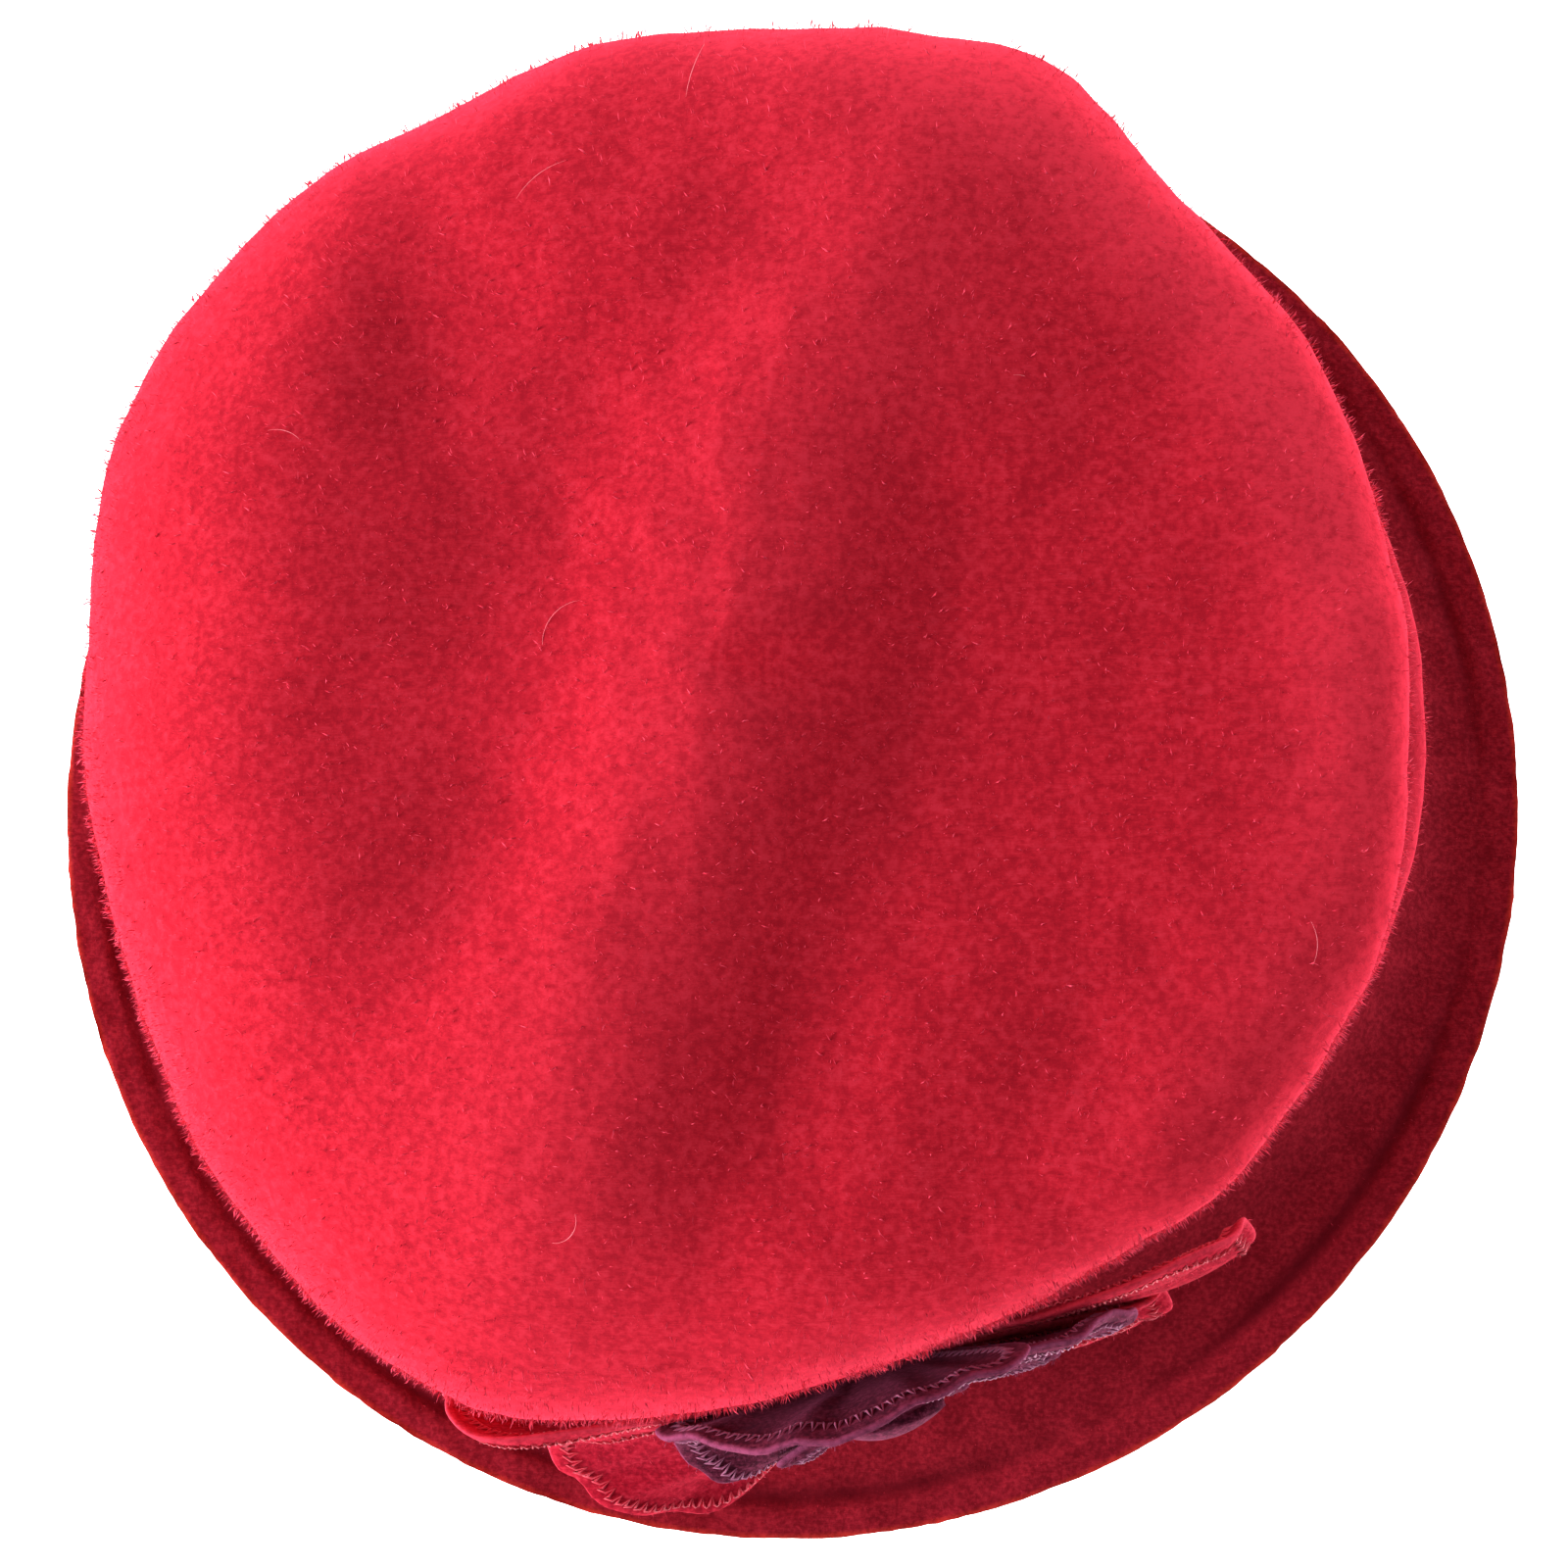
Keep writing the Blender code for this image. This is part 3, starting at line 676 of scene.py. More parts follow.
# %% Brim
BRIM_BEARINGS = 480
BRIM_SWEEP_ROWS = 20
BAND_ROWS = 22
EDGE_ROUND = 0.9 * MM
EDGE_FULLNESS = 0.9  # how far the edge's section goes towards a half circle
EDGE_HIGHLIGHT_WIDTH = 1.6 * MM  # how far in the edge's colour, a painted highlight, reaches
EDGE_FLAT = 6  # lumps fade out over a sixth of the band
EDGE_WAVER = 0.07 * MM
WAVER_LUMPS = (dict(size=8 * MM, height=1.0, seed=23), dict(size=3 * MM, height=0.7, seed=24))
WAVER_STRETCH = (1.0, 1.0, 0.2)  # the edge wavers round the hat, hardly through the felt
BRIM_LUMPS = (
    dict(size=9 * MM, height=0.16 * MM, seed=21),
    dict(size=4 * MM, height=0.06 * MM, seed=22),
)
# The groove is also darkened with painted shade; its last value is that share
GROOVE = dict(inset=7.6 * MM, depth=1.2 * MM, width=1.5 * MM, painted_shade_share=0.85)
GROOVE_FADE = dict(mean=0.75, swing=0.35, least=0.15, size=90 * MM, seed=25)


def brim_face(bearing, level, under):
    """Face of the brim. Level 0 is the head line, 1 the foot where the flat band starts, 2 the
    edge: a quarter of an ellipse, then straight. For the lower face, under is the felt's
    thickness."""
    bearing, level = np.broadcast_arrays(np.asarray(bearing, float), np.asarray(level, float))
    foot = BRIM_EDGE - BRIM_REST
    sweep = held(level) * math.pi / 2
    reach = foot - head_line(bearing) + under
    radius = foot - reach * np.cos(sweep) + held(level - 1.0) * BRIM_REST
    height = BRIM_DROP - SEAM_GAP - (BRIM_DROP - BRIM_FELT + under - SEAM_GAP) * np.sin(sweep)
    return from_axis(radius, bearing, height)


def edge_share(points, width):
    """How near points are to the brim's edge: 1 on it, 0 from one width further in."""
    return held((np.hypot(points[..., 0], points[..., 1]) - BRIM_EDGE) / width + 1.0)


def make_brim():
    """The top face from the edge inwards, then the lower face outwards, with a rounded cut edge."""
    bearings = np.arange(BRIM_BEARINGS) * 360.0 / BRIM_BEARINGS
    levels = np.concatenate([np.linspace(0.0, 1.0, BRIM_SWEEP_ROWS),
                             np.linspace(1.0, 2.0, BAND_ROWS)[1:]])[:, None]
    top = brim_face(bearings[None, :], levels[::-1], 0.0)
    below = brim_face(bearings[None, :], levels, BRIM_FELT)
    normals = grid_normals(top)
    height = all_lumps(top, BRIM_LUMPS) * held((2.0 - levels[::-1]) * EDGE_FLAT)
    inset = BRIM_EDGE - np.hypot(top[..., 0], top[..., 1])
    fade = GROOVE_FADE["swing"] * lumps(top, GROOVE_FADE["size"], GROOVE_FADE["seed"])
    fade = np.clip(GROOVE_FADE["mean"] + fade, GROOVE_FADE["least"], 1.0)
    groove = bell(inset - GROOVE["inset"], GROOVE["width"]) * fade
    top = top + normals * (height - GROOVE["depth"] * groove)[..., None]
    loop = np.concatenate([top, below])
    rise = 2 * held(loop[..., 2] / BRIM_FELT) - 1.0
    round_in = EDGE_ROUND * (1.0 - np.sqrt(1.0 - EDGE_FULLNESS * rise ** 2))
    waver = EDGE_WAVER * all_lumps(loop * WAVER_STRETCH, WAVER_LUMPS)
    moved = edge_share(loop, EDGE_ROUND) * (waver - round_in)
    loop = loop + outwards(loop) * moved[..., None]
    # Painted highlight on the cut edge; painted shade in the groove, on the top face alone
    rim = edge_share(loop, EDGE_HIGHLIGHT_WIDTH)
    hollow = np.concatenate([GROOVE["painted_shade_share"] * groove, np.zeros(below.shape[:2])])
    return new_piece("brim_ring", looped(loop), brim_felt, rim=rim, hollow=hollow), top


brim, brim_grid = make_brim()
hand_over(brim, "brim_felt", "brim")

# %% [markdown]
# ## Where the flower lies on the hat
#
# The flower is sewn to the side of the crown, and its lower petals hang over the brim. Its petals
# are drawn flat, as on paper, in millimetres to the right of and above the flower's middle. Those
# places are then laid on the hat's outer face and lifted off it. The flower is a shallow bowl whose
# layers nest in each other, so no petal runs through another.

# %% Flower sizes
FLOWER_BEARING = -79.0
FLOWER_HEIGHT = 58 * MM
PETAL_FELT = 1.5 * MM
PETAL_GAP = 0.6 * MM
PETAL_STAND = 0.4 * MM
PETAL_ROOT = 5 * MM
RED_LENGTH = 52 * MM
TIP_CURL = 3 * MM
BOWL = (0.16, 0.09, 0.05, 0.04, 0.13, 0.71, 0.38, 0.33)  # slope every 45 degrees from the right
BOWL_FLOOR = 8 * MM
OVER_BRIM = 0.45
RUFFLE = 2.5 * MM
RUFFLES = (
    dict(share=0.36, waves=7, start=0.4),
    dict(share=0.32, waves=12, start=1.0),
    dict(share=0.28, waves=18, start=2.4),
    dict(share=0.18, waves=29, start=0.9),
)

# Petals: turn in degrees from the flower's right; length and width as shares of their kind's
KINDS = (
    dict(kind="red", full_length=RED_LENGTH, full_width=48 * MM, felt=red_petal_felt, petals=(
        dict(turn=3, length=1.10, width=0.95, layer=0, curl=-1.1),
        dict(turn=332, length=0.88, width=0.94, layer=1, curl=0.3),
        dict(turn=272, length=0.74, width=0.85, layer=0, curl=0.6),
        dict(turn=208, length=0.91, width=1.22, layer=2, curl=0.6),
        dict(turn=165, length=1.20, width=0.88, layer=0, curl=-1.0))),
    dict(kind="plum", full_length=38 * MM, full_width=40 * MM, felt=plum_petal_felt, petals=(
        dict(turn=99, length=0.98, width=1.60, layer=1, curl=0.9),
        dict(turn=208, length=0.78, width=0.95, layer=3, curl=0.6),
        dict(turn=20, length=1.00, width=0.90, layer=2, curl=-0.4),
        dict(turn=262, length=0.60, width=0.85, layer=4, curl=0.0),
        dict(turn=318, length=0.74, width=0.85, layer=3, curl=0.0))),
)
PETALS = [
    dict(kind, number=number, turn=math.radians(row["turn"]), phase=row["turn"], layer=row["layer"],
         curl=row["curl"], length=row["length"] * kind["full_length"],
         width=row["width"] * kind["full_width"])
    for kind in KINDS for number, row in enumerate(kind["petals"], start=1)]
print("lengths of the petals:", [round(1000 * row["length"]) for row in PETALS], "mm")

# %% Places on the hat
def hat_face(bearing, level):
    """The hat's outer face: the brim below the head line at level 0, the crown above it."""
    bearing, level = np.broadcast_arrays(np.asarray(bearing, float), np.asarray(level, float))
    on_brim = brim_face(bearing, held(-level), 0.0)
    on_crown = crown_face(bearing, np.clip(level, 0.0, 2.0))
    return np.where((level < 0.0)[..., None], on_brim, on_crown)


def on_hat(right, up):
    """Places measured over the felt from the flower's middle: bearing from the arc to the right,
    level from the run up the hat's line through that middle."""
    levels = np.linspace(-1.0, 1.6, 400)
    line = hat_face(FLOWER_BEARING, levels)
    run = walked(line)
    middle_run = np.interp(FLOWER_HEIGHT, line[:, 2], run)
    middle_radius = np.interp(FLOWER_HEIGHT, line[:, 2], np.hypot(line[:, 0], line[:, 1]))
    level = np.interp(middle_run + up, run, levels)
    return hat_face(FLOWER_BEARING + np.degrees(right / middle_radius), level)


def off_hat(right, up, stand):
    """Stand off the hat: straight out from the crown, tipped up as the brim sweeps away below."""
    foot = on_hat(right, up)
    outward = outwards(foot)
    outward[..., 2] = OVER_BRIM * np.clip((FLOWER_HEIGHT - foot[..., 2]) / BRIM_DROP, 0.0, None)
    return foot + unit(outward) * stand[..., None]


def bowl_stand(right, up, layer):
    """How far a layer of the bowl stands off the hat, and how much its slant thickens the felt.
    Ruffles are sines of the angle that grow with the square of the distance, the same in all
    layers."""
    away = np.hypot(right, up)
    turn = np.arctan2(up, right)
    steep = smooth_round(BOWL, np.degrees(turn))
    sweep = np.sqrt(away ** 2 + BOWL_FLOOR ** 2) - math.hypot(PETAL_ROOT, BOWL_FLOOR)
    slant = np.hypot(1.0, steep * away / np.sqrt(away ** 2 + BOWL_FLOOR ** 2))
    waves = sum(row["share"] * (1.0 + np.sin(row["waves"] * turn + row["start"]))
                for row in RUFFLES)
    ruffle = RUFFLE * waves * (away / RED_LENGTH) ** 2
    return PETAL_STAND + steep * sweep + ruffle + layer * (PETAL_FELT + PETAL_GAP) * slant, slant


print("the flower's middle:", (1000 * on_hat(np.zeros(1), np.zeros(1))).round(1).tolist(), "mm")

# %% [markdown]
# ## Petals
#
# Each petal is a rounded leaf cut from thin felt by hand, so its outline strays a little, and it is
# pulled into ruffles, which the flower's bowl above gives it. Its points run in rings from a spot
# in its middle behind out to the edge, round the cut edge on a half circle, and back to the middle
# on the front, so the petal is closed and its edge is soft. The value named rim is 1 on the cut
# edge alone, where the felt is painted paler: a painted highlight.

# %% Petal shape
PETAL_SIDES = 96
PETAL_RINGS = 13
EDGE_RINGS = 4
EDGE_FADE = 3  # how far in the pressing reaches, in insets of the round edge
EDGE_THIN = 0.45  # share of the felt's thickness that the shears pressed out
WAVER = 0.9 * MM  # cut by hand: how far a petal's outline strays
WAVER_COUNT = 5
MEAN_REACH = 0.4  # from the rings' middle to the edge, as a share of a petal's width
LEAF_MIDDLE = 0.55  # where the rings' middle lies along a petal
LEAF_ROOT = 0.42  # width at the root as a share of the full width
LEAF_TAPER = 0.8
LEAF_ROUND = 0.9
CURL_START = 0.7  # share of the length from which the tip curls
CURL_HALF = 0.4  # share of the width over which the curl fades to the sides
AROUND = np.arange(PETAL_SIDES) * 2 * math.pi / PETAL_SIDES


def petal_outline(length, width, around):
    """Outline of a petal along +x, anticlockwise: a rounded leaf, widest past its middle."""
    along = (1.0 - np.cos(around)) / 2.0
    side = -np.sign(np.sin(around)) * np.abs(np.sin(around)) ** LEAF_ROUND
    taper = LEAF_ROOT + (1.0 - LEAF_ROOT) * along ** LEAF_TAPER
    return PETAL_ROOT + (length - PETAL_ROOT) * along, width / 2 * side * taper


def petal_place(row, share, around, lift):
    """A place on a petal: share 0 is its middle and 1 its edge, around is the angle round the
    outline, and lift runs from 0 at the back to 1 at the front of the felt."""
    edge_x, edge_y = petal_outline(row["length"], row["width"], around)
    middle_x = PETAL_ROOT + LEAF_MIDDLE * (row["length"] - PETAL_ROOT)
    waver = 2 * WAVER / row["full_width"] * np.sin(WAVER_COUNT * around + row["phase"])
    stray = 1.0 + waver * share
    x = middle_x + share * stray * (edge_x - middle_x)
    y = share * stray * edge_y
    right = x * math.cos(row["turn"]) - y * math.sin(row["turn"])
    up = x * math.sin(row["turn"]) + y * math.cos(row["turn"])
    stand, slant = bowl_stand(right, up, row["layer"])
    near_tip = held((x / row["length"] - CURL_START) / (1.0 - CURL_START))
    near_middle = held(1.0 - (y / (CURL_HALF * row["width"])) ** 2)
    stand = stand + row["curl"] * TIP_CURL * near_tip ** 2 * near_middle
    return off_hat(right, up, stand + lift * PETAL_FELT * slant)


def make_petal(row):
    """Rings from the middle behind to the edge, round the cut edge, and to the middle in front. The
    front's rings come back too, for the nap."""
    inset = PETAL_FELT / 2 / (MEAN_REACH * row["width"])
    flat = np.linspace(0.0, 1.0 - inset, PETAL_RINGS + 1)[1:]
    bend = np.linspace(-math.pi / 2, math.pi / 2, EDGE_RINGS + 2)[1:-1]
    shares = np.concatenate([flat, 1.0 - inset * (1.0 - np.cos(bend)), flat[::-1]])
    lifts = np.concatenate([np.zeros(len(flat)), 0.5 + 0.5 * np.sin(bend), np.ones(len(flat))])
    lifts = lifts * (1.0 - EDGE_THIN * held(1.0 + (shares - 1.0) / (EDGE_FADE * inset)) ** 2)
    rings = petal_place(row, shares[:, None], AROUND[None, :], lifts[:, None])
    poles = petal_place(row, np.zeros(2), np.zeros(2), np.array([0.0, 1.0]))
    # Painted highlight on the cut edge
    rim = np.append(np.repeat(held((shares - 1.0) / inset + 1.0), PETAL_SIDES), [0.0, 0.0])
    name = "{kind}_felt_petal_{number}".format(**row)
    piece = new_piece(name, capped(rings, poles), row["felt"], rim=rim)
    return piece, rings[len(flat):]


petal_grids = []
for row in PETALS:
    piece, grid = make_petal(row)
    hand_over(piece, "{kind}_petal_felt".format(**row), "{kind}_petal_{number}".format(**row))
    petal_grids.append(grid)

# %% [markdown]
# ## The flower's middle
#
# A small domed round of plum felt covers the petals' roots. It is made like a petal: rings behind,
# an edge, and rings on the front.

# %% Flower middle
MIDDLE_RADIUS = 8 * MM
MIDDLE_DOME = 3 * MM
MIDDLE_LAYER = 5
MIDDLE_RINGS = 12
MIDDLE_START = 0.08  # radius of the smallest ring, as a share


def make_middle():
    """A round on the innermost layer. Its dome falls off with the square of the radius."""
    flat = np.linspace(MIDDLE_START, 1.0, MIDDLE_RINGS)
    shares = np.concatenate([flat, flat[::-1], [0.0, 0.0]])[:, None]
    front = np.concatenate([np.zeros(len(flat)), np.ones(len(flat)), [0.0, 1.0]])[:, None]
    right = shares * MIDDLE_RADIUS * np.cos(AROUND)
    up = shares * MIDDLE_RADIUS * np.sin(AROUND)
    stand, slant = bowl_stand(right, up, MIDDLE_LAYER)
    dome = MIDDLE_DOME * (1.0 - shares ** 2)
    rings = off_hat(right, up, stand + front * (PETAL_FELT * slant + dome))
    return new_piece("flower_middle", capped(rings[:-2], rings[-2:, 0]), plum_petal_felt)


hand_over(make_middle(), "plum_petal_felt", "flower_centre")

# %% [markdown]
# ## Zigzag stitching
#
# A row of zigzag stitches runs round every petal a little inside its edge, as a machine sews it: a
# thread crosses from hole to hole, rises between them and dives into the felt at each. A bump
# texture could hint at it, but at this distance single threads catch the light, so each row is one
# closed tube. Its path alternates between an inner and an outer line, one hole every half pitch.

# %% Stitches
STITCH_PITCH = 1.7 * MM
STITCH_WIDTH = 2.2 * MM
STITCH_INSET = 3.0 * MM
THREAD_RADIUS = 0.20 * MM
THREAD_RISE = 0.36 * MM
THREAD_DIP = 0.5  # into the felt at a hole, as a share of the rise
THREAD_SIDES = 5
TUBE_REST = (0.31, 0.27, 0.91)  # a direction that no path here follows


def tube(path, radius, sides, closed=False):
    """Rings of points round a path: each ring stands across the path's direction, and is turned so
    that it hardly twists from one ring to the next."""
    before, after = np.roll(path, 1, axis=0), np.roll(path, -1, axis=0)
    ahead = unit(after - before if closed else np.gradient(path, axis=0))
    side = unit(np.cross(ahead, TUBE_REST))
    other = np.cross(ahead, side)
    turn = np.arange(sides)[:, None] * 2 * math.pi / sides
    round_it = np.cos(turn) * side[:, None] + np.sin(turn) * other[:, None]
    return path[:, None] + np.reshape(radius, (-1, 1, 1)) * round_it


def stitch_path(row, side):
    """Holes alternate across a line inside the petal's edge; between two holes the thread rises."""
    fine = np.linspace(0.0, 2 * math.pi, 721)[:-1]
    edge_x, edge_y = petal_outline(row["length"], row["width"], fine)
    reach = np.hypot(edge_x - PETAL_ROOT - LEAF_MIDDLE * (row["length"] - PETAL_ROOT), edge_y)
    line = petal_place(row, 1.0 - STITCH_INSET / reach, fine, np.full(len(fine), side))
    run = walked(np.append(line, line[:1], axis=0))
    steps = np.arange(4 * round(run[-1] / STITCH_PITCH))
    around = np.interp(steps / len(steps) * run[-1], run, np.append(fine, 2 * math.pi))
    across = np.array([-1.0, 0.0, 1.0, 0.0])[steps % 4] * STITCH_WIDTH / 2
    share = 1.0 - (STITCH_INSET + across) / np.interp(around, fine, reach, period=2 * math.pi)
    rise = np.array([-THREAD_DIP, 1.0])[steps % 2] * THREAD_RISE / PETAL_FELT
    return petal_place(row, share, around, np.where(side > 0.5, 1.0 + rise, -rise))


def make_stitches(row, material):
    """Two closed threads, one on each face of the petal, as one piece."""
    paths = [stitch_path(row, side) for side in (1.0, 0.0)]
    tubes = [looped(tube(path, THREAD_RADIUS, THREAD_SIDES, closed=True)) for path in paths]
    return new_piece("{kind}_stitches_{number}".format(**row), joined(tubes), material)


def thread(name, base, bloom):
    """Sewing thread: smoother than felt, with a faint sheen along the strand."""
    return new_material(name, {
        "Base Color": colour(base), "Roughness": 0.55, "Specular IOR Level": 0.35,
        "Sheen Weight": 0.2, "Sheen Tint": colour(bloom)})[0]


threads = dict(red=thread("red sewing thread", "#CE3048", "#FF8090"),
               plum=thread("mauve sewing thread", "#A05478", "#D898B8"))
for row in PETALS:
    hand_over(make_stitches(row, threads[row["kind"]]), "{kind}_petal_felt".format(**row))

# %% [markdown]
# ## The nap
#
# The crown's felt was brushed, so loose hairs stand off it everywhere. Seen from above they point
# at the eye and hardly show, but at the rim they are seen from the side: they soften the outline
# and catch the low light, so the rim glows. Particle hair would be lost in other programs, so each
# hair is a tiny closed sliver of four triangles: a root, two points side by side at its bent
# middle, and a tip. Roots are scattered evenly over the grid of the face below, thicker in clumps,
# and most hairs are short with a few long ones among them.

# %% Hairs
HAIR_WIDTH = (0.015 * MM, 0.03 * MM)
HAIR_ROOT = 0.15 * MM  # how deep a hair starts in the felt
HAIR_SHORTNESS = 3  # the power that makes most hairs short
HAIR_KINK = 0.14  # how far a hair's middle strays, as a share of its length
HAIR_MIDDLE = 0.6  # where the middle dye lies between deep and pale
HAIR_GLOW = 0.12  # stands for the light that comes through a hair from behind
HAIR_CORNERS = np.array([(0, 1, 2), (1, 3, 2), (0, 3, 1), (0, 2, 3)])
SPARE_ROOTS = 1.9  # places tried for each hair that is kept
CLUMPING = dict(mean=0.53, swing=0.22)
SWIRL = dict(size=16 * MM, waves=12)  # the lie of the nap turns slowly over the felt
HAIR_TANGLE = 0.9  # spread of single hairs about it, in radians
HAIR_GRAIN = (0.12, 0.95, 0.28)  # the direction from which the lie is measured


def scatter(grid, count, seed, clump):
    """Random places on a grid of points, even by area, thinned where a field of clumps is low, with
    the surface's normals there."""
    random = np.random.default_rng(seed)
    normals = grid_normals(grid)
    after = np.roll(grid, -1, axis=1)
    area = np.linalg.norm(np.cross(after[:-1] - grid[:-1], grid[1:] - grid[:-1]), axis=-1).ravel()
    many = int(count * SPARE_ROOTS)
    cells = np.searchsorted(np.cumsum(area) / area.sum(), random.random(many))
    row, column = np.divmod(cells, grid.shape[1])
    up, right = random.random((2, many, 1))
    next_column = (column + 1) % grid.shape[1]

    def blend(values):
        low = values[row, column] * (1 - right) + values[row, next_column] * right
        high = values[row + 1, column] * (1 - right) + values[row + 1, next_column] * right
        return low * (1 - up) + high * up

    roots, directions = blend(grid), blend(normals)
    chance = CLUMPING["mean"] + CLUMPING["swing"] * lumps(roots, clump, seed + 1)
    kept = np.flatnonzero(random.random(many) < chance)[:count]
    return roots[kept], unit(directions[kept])


def make_nap(name, grid, count, seed, length, lift, material, clump=2.2 * MM):
    """Four-triangle hairs. length and lift are pairs of limits; lift is the angle off the felt."""
    random = np.random.default_rng(seed + 7)
    roots, normals = scatter(grid, count, seed, clump)
    count = len(roots)
    first = unit(np.cross(normals, HAIR_GRAIN))
    second = np.cross(normals, first)
    turn = math.pi * lumps(roots, seed=seed + 2, **SWIRL)
    turn = (turn + random.normal(0.0, HAIR_TANGLE, count))[:, None]
    flat = first * np.cos(turn) + second * np.sin(turn)
    rise = np.radians(random.uniform(*lift, (count, 1)))
    size = length[0] + (length[1] - length[0]) * random.random((count, 1)) ** HAIR_SHORTNESS
    half = random.uniform(*HAIR_WIDTH, (count, 1)) / 2
    run = (flat * np.cos(rise) + normals * np.sin(rise)) * size
    side = np.cross(flat, normals)
    base = roots - normals * HAIR_ROOT
    stray = random.uniform(-HAIR_KINK, HAIR_KINK, (count, 1))
    middle = base + run * 0.5 + (side + normals) * size * stray
    across = side * np.copysign(half, stray)  # so its faces point outwards either way
    points = np.stack([base, middle + across, middle - across, base + run], axis=1)
    triangles = 4 * np.arange(count)[:, None, None] + HAIR_CORNERS
    shape = points.reshape(-1, 3), np.zeros((0, 4), int), triangles.reshape(-1, 3)
    return new_piece(name, shape, material, shade=np.repeat(random.random(count), 4))


def hair(name, deep, middle, pale, bloom):
    """Loose wool hair: every hair has its own depth of dye, and it glows a little, a painted glow
    that stands for light coming through it.
    """
    material, shader = new_material(name, {
        "Roughness": 0.8, "Specular IOR Level": 0.05,
        "Sheen Weight": 0.5, "Sheen Roughness": 0.5, "Sheen Tint": colour(bloom),
        "Emission Color": colour(pale), "Emission Strength": HAIR_GLOW})
    tree = material.node_tree
    shade = add_node(tree, "ShaderNodeAttribute", dict(attribute_name="shade")).outputs["Fac"]
    ramp = add_node(tree, "ShaderNodeValToRGB", Fac=shade)
    ramp.color_ramp.elements[0].color = colour(deep)
    ramp.color_ramp.elements[1].color = colour(pale)
    ramp.color_ramp.elements.new(HAIR_MIDDLE).color = colour(middle)
    tree.links.new(ramp.outputs["Color"], shader.inputs["Base Color"])
    return material


print("each hair has", len(HAIR_CORNERS), "triangles")

# %% Nap of each piece
crown_hair = hair("loose hairs of the crown's nap, cherry red",
                  "#C02036", "#D83048", "#EA4A62", "#FF6080")
brim_hair = hair("short hairs of the brim's nap, cherry red",
                 "#8A1222", "#A01828", "#B82A38", "#FF5070")
plum_hair = hair("short hairs of the plum felt", "#5A1E3C", "#7A3054", "#A45078", "#E090B0")
dome = crown_grid[WALL_ROWS - 1:]
shoulder_rows = DOME_ROWS * 3 // 10
NAPS = (
    dict(name="nap_top", grid=dome[shoulder_rows:], count=22000, seed=31,
         length=(0.6 * MM, 1.8 * MM), lift=(35.0, 85.0)),
    dict(name="nap_shoulder", grid=dome[:shoulder_rows + 1], count=49000, seed=41,
         length=(0.5 * MM, 2.0 * MM), lift=(40.0, 85.0)),
    dict(name="nap_wall", grid=crown_grid[:WALL_ROWS], count=42000, seed=51,
         length=(0.5 * MM, 2.0 * MM), lift=(35.0, 80.0)),
)
BRIM_NAP = dict(count=24000, seed=61, length=(0.3 * MM, 0.9 * MM), lift=(30.0, 80.0),
                clump=1.4 * MM)
PETAL_NAP = dict(count=1500, length=(0.4 * MM, 1.3 * MM), lift=(30.0, 80.0))
PETAL_HAIRS = dict(red=(crown_hair, 70), plum=(plum_hair, 80))  # and where their seeds start
for row in NAPS:
    hand_over(make_nap(material=crown_hair, **row), "crown_felt")
hand_over(make_nap("nap_brim", brim_grid, material=brim_hair, **BRIM_NAP), "brim_felt")
for row, grid in zip(PETALS, petal_grids):
    strands, first_seed = PETAL_HAIRS[row["kind"]]
    nap = make_nap("nap_{kind}_petal_{number}".format(**row), grid, material=strands,
                   seed=first_seed + row["number"], **PETAL_NAP)
    hand_over(nap, "{kind}_petal_felt".format(**row))

# %% [markdown]
# ## A few long stray hairs
#
# Here and there a long pale hair has worked loose and lies over the nap in an arc. There are so few
# that each has a row in a table: where it starts seen from above, the way it runs, how much it
# bends and how far its end lifts off the felt. Each is a thin closed tube that narrows to its ends.

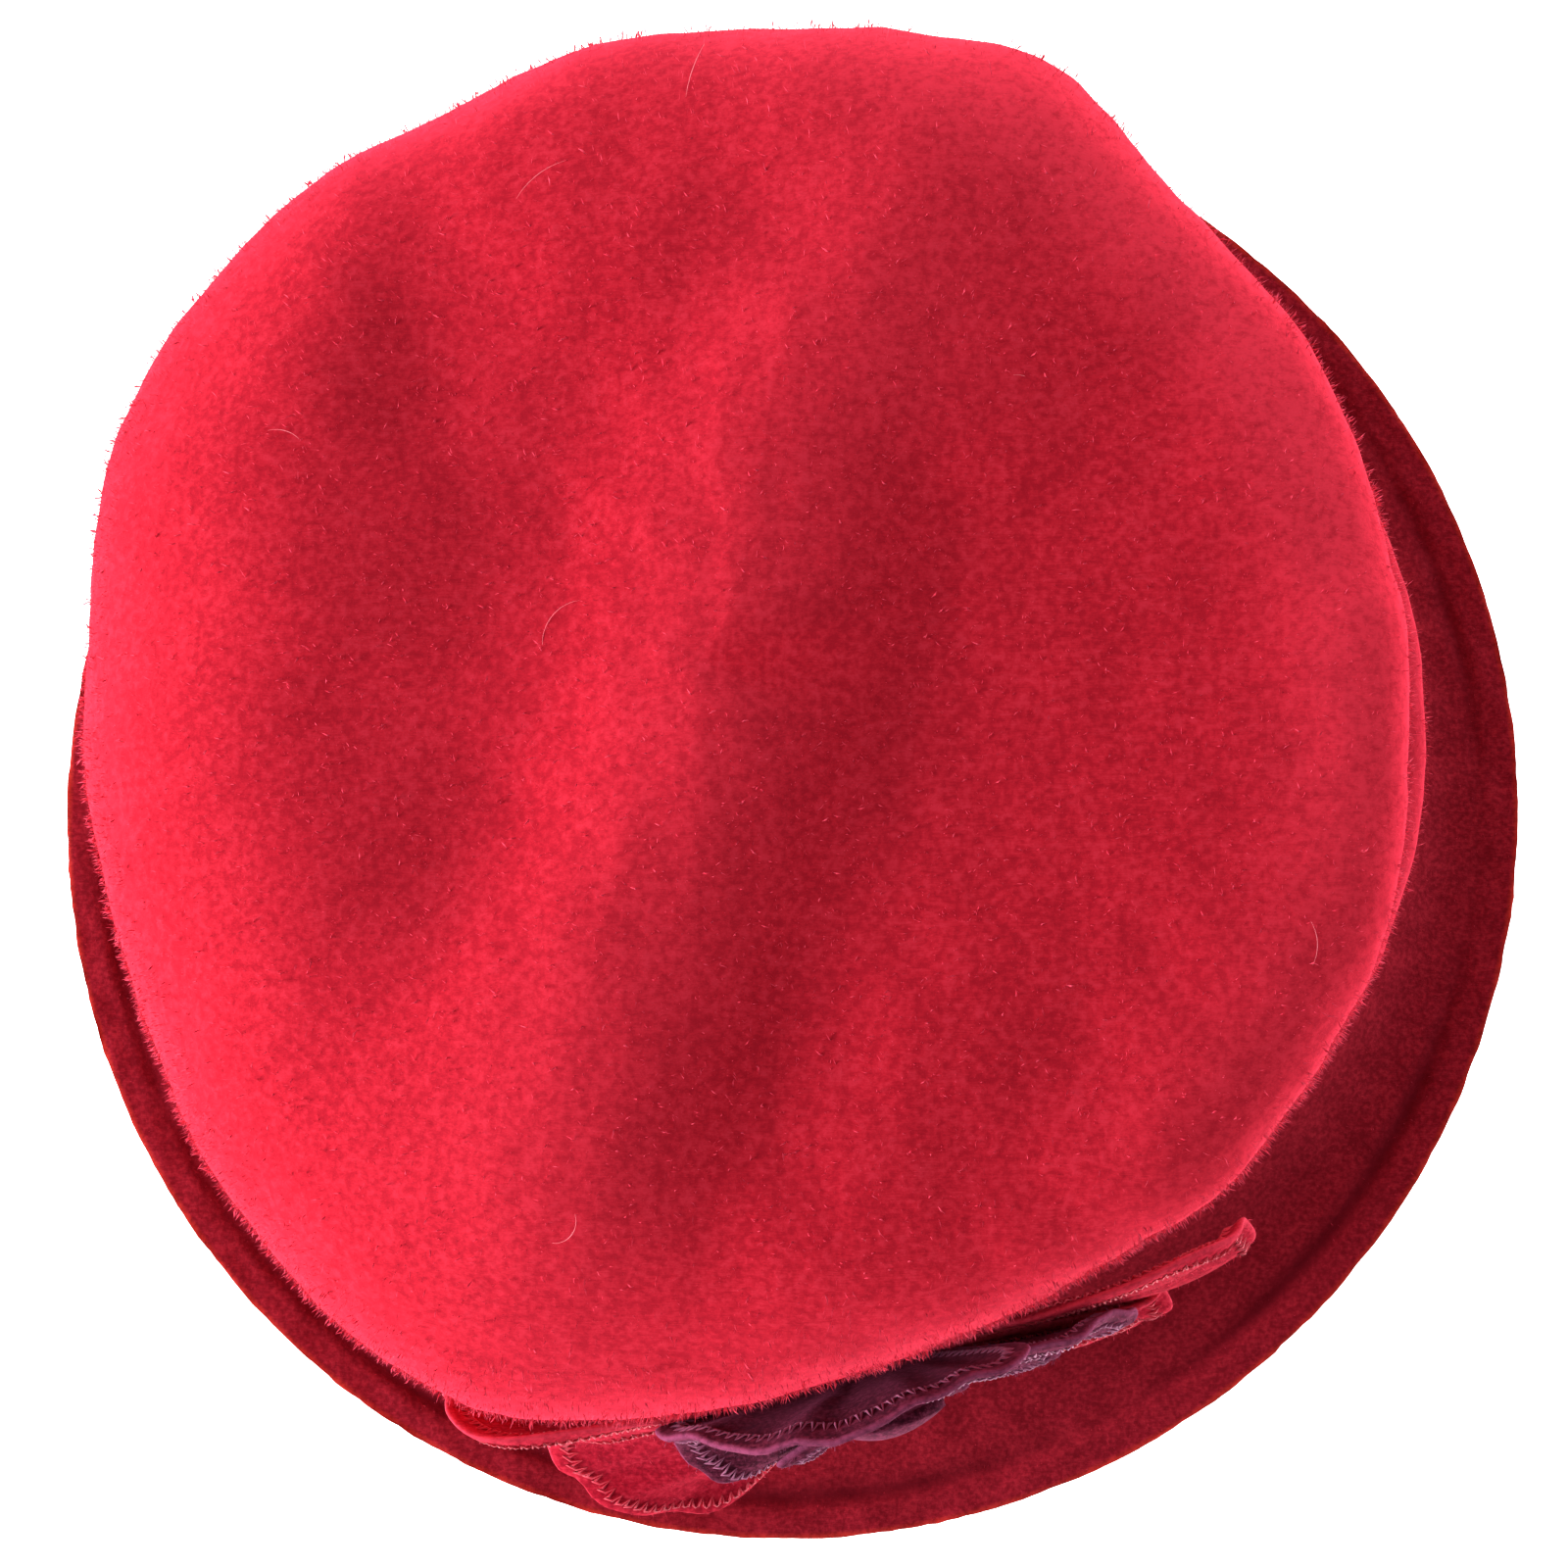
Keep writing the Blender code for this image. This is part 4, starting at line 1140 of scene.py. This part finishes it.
# %% Stray hairs
STRAYS = (
    dict(x=-0.04, y=0.80, turn=86, bend=-20, length=9.0, lift=1.5),
    dict(x=-0.28, y=0.66, turn=62, bend=-50, length=9.0, lift=0.6),
    dict(x=-0.58, y=0.33, turn=130, bend=60, length=5.0, lift=0.5),
    dict(x=-0.23, y=0.02, turn=100, bend=-95, length=9.0, lift=0.4),
    dict(x=0.45, y=0.37, turn=120, bend=70, length=4.0, lift=0.6),
    dict(x=-0.22, y=-0.78, turn=-10, bend=110, length=6.0, lift=0.6),
    dict(x=0.80, y=-0.42, turn=60, bend=60, length=6.0, lift=0.8),
    dict(x=0.10, y=0.45, turn=200, bend=50, length=5.0, lift=0.4),
)
STRAY_RADIUS = 0.05 * MM
STRAY_THIN = 0.7  # how much a hair narrows to its ends
STRAY_STAND = 0.35 * MM  # over the felt, on the nap
STRAY_STEPS = 14
STRAY_SIDES = 4


def on_top(x, y):
    """Places on the crown's top under points seen from above, found on the line to the tip."""
    levels = np.linspace(1.0, 2.0, 240)
    bearings = np.degrees(np.arctan2(y, x))
    lines = crown_face(bearings[:, None], levels[None, :])
    reach = np.hypot(lines[..., 0], lines[..., 1])
    chosen = [np.interp(radius, line[::-1], levels[::-1])
              for radius, line in zip(np.hypot(x, y), reach)]
    return crown_face(bearings, np.array(chosen))


def make_stray(row):
    """A hair with a steady bend. Its end lifts off with the square of the way along."""
    along = np.linspace(0.0, 1.0, STRAY_STEPS)
    turn = np.radians(row["turn"] + row["bend"] * along)
    step = row["length"] * MM / (STRAY_STEPS - 1)
    path = on_top(row["x"] * CROWN_RADIUS + np.cumsum(np.cos(turn)) * step,
                  row["y"] * CROWN_RADIUS + np.cumsum(np.sin(turn)) * step)
    path[:, 2] += STRAY_STAND + row["lift"] * MM * along ** 2
    radius = STRAY_RADIUS * (1.0 - STRAY_THIN * np.abs(2 * along - 1.0))
    return capped(tube(path, radius, STRAY_SIDES), [path[0], path[-1]])


stray_hair = thread("long pale stray hairs", "#F07888", "#FFC0C8")
stray_shape = joined([make_stray(row) for row in STRAYS])
hand_over(new_piece("stray_hairs", stray_shape, stray_hair), "crown_felt")
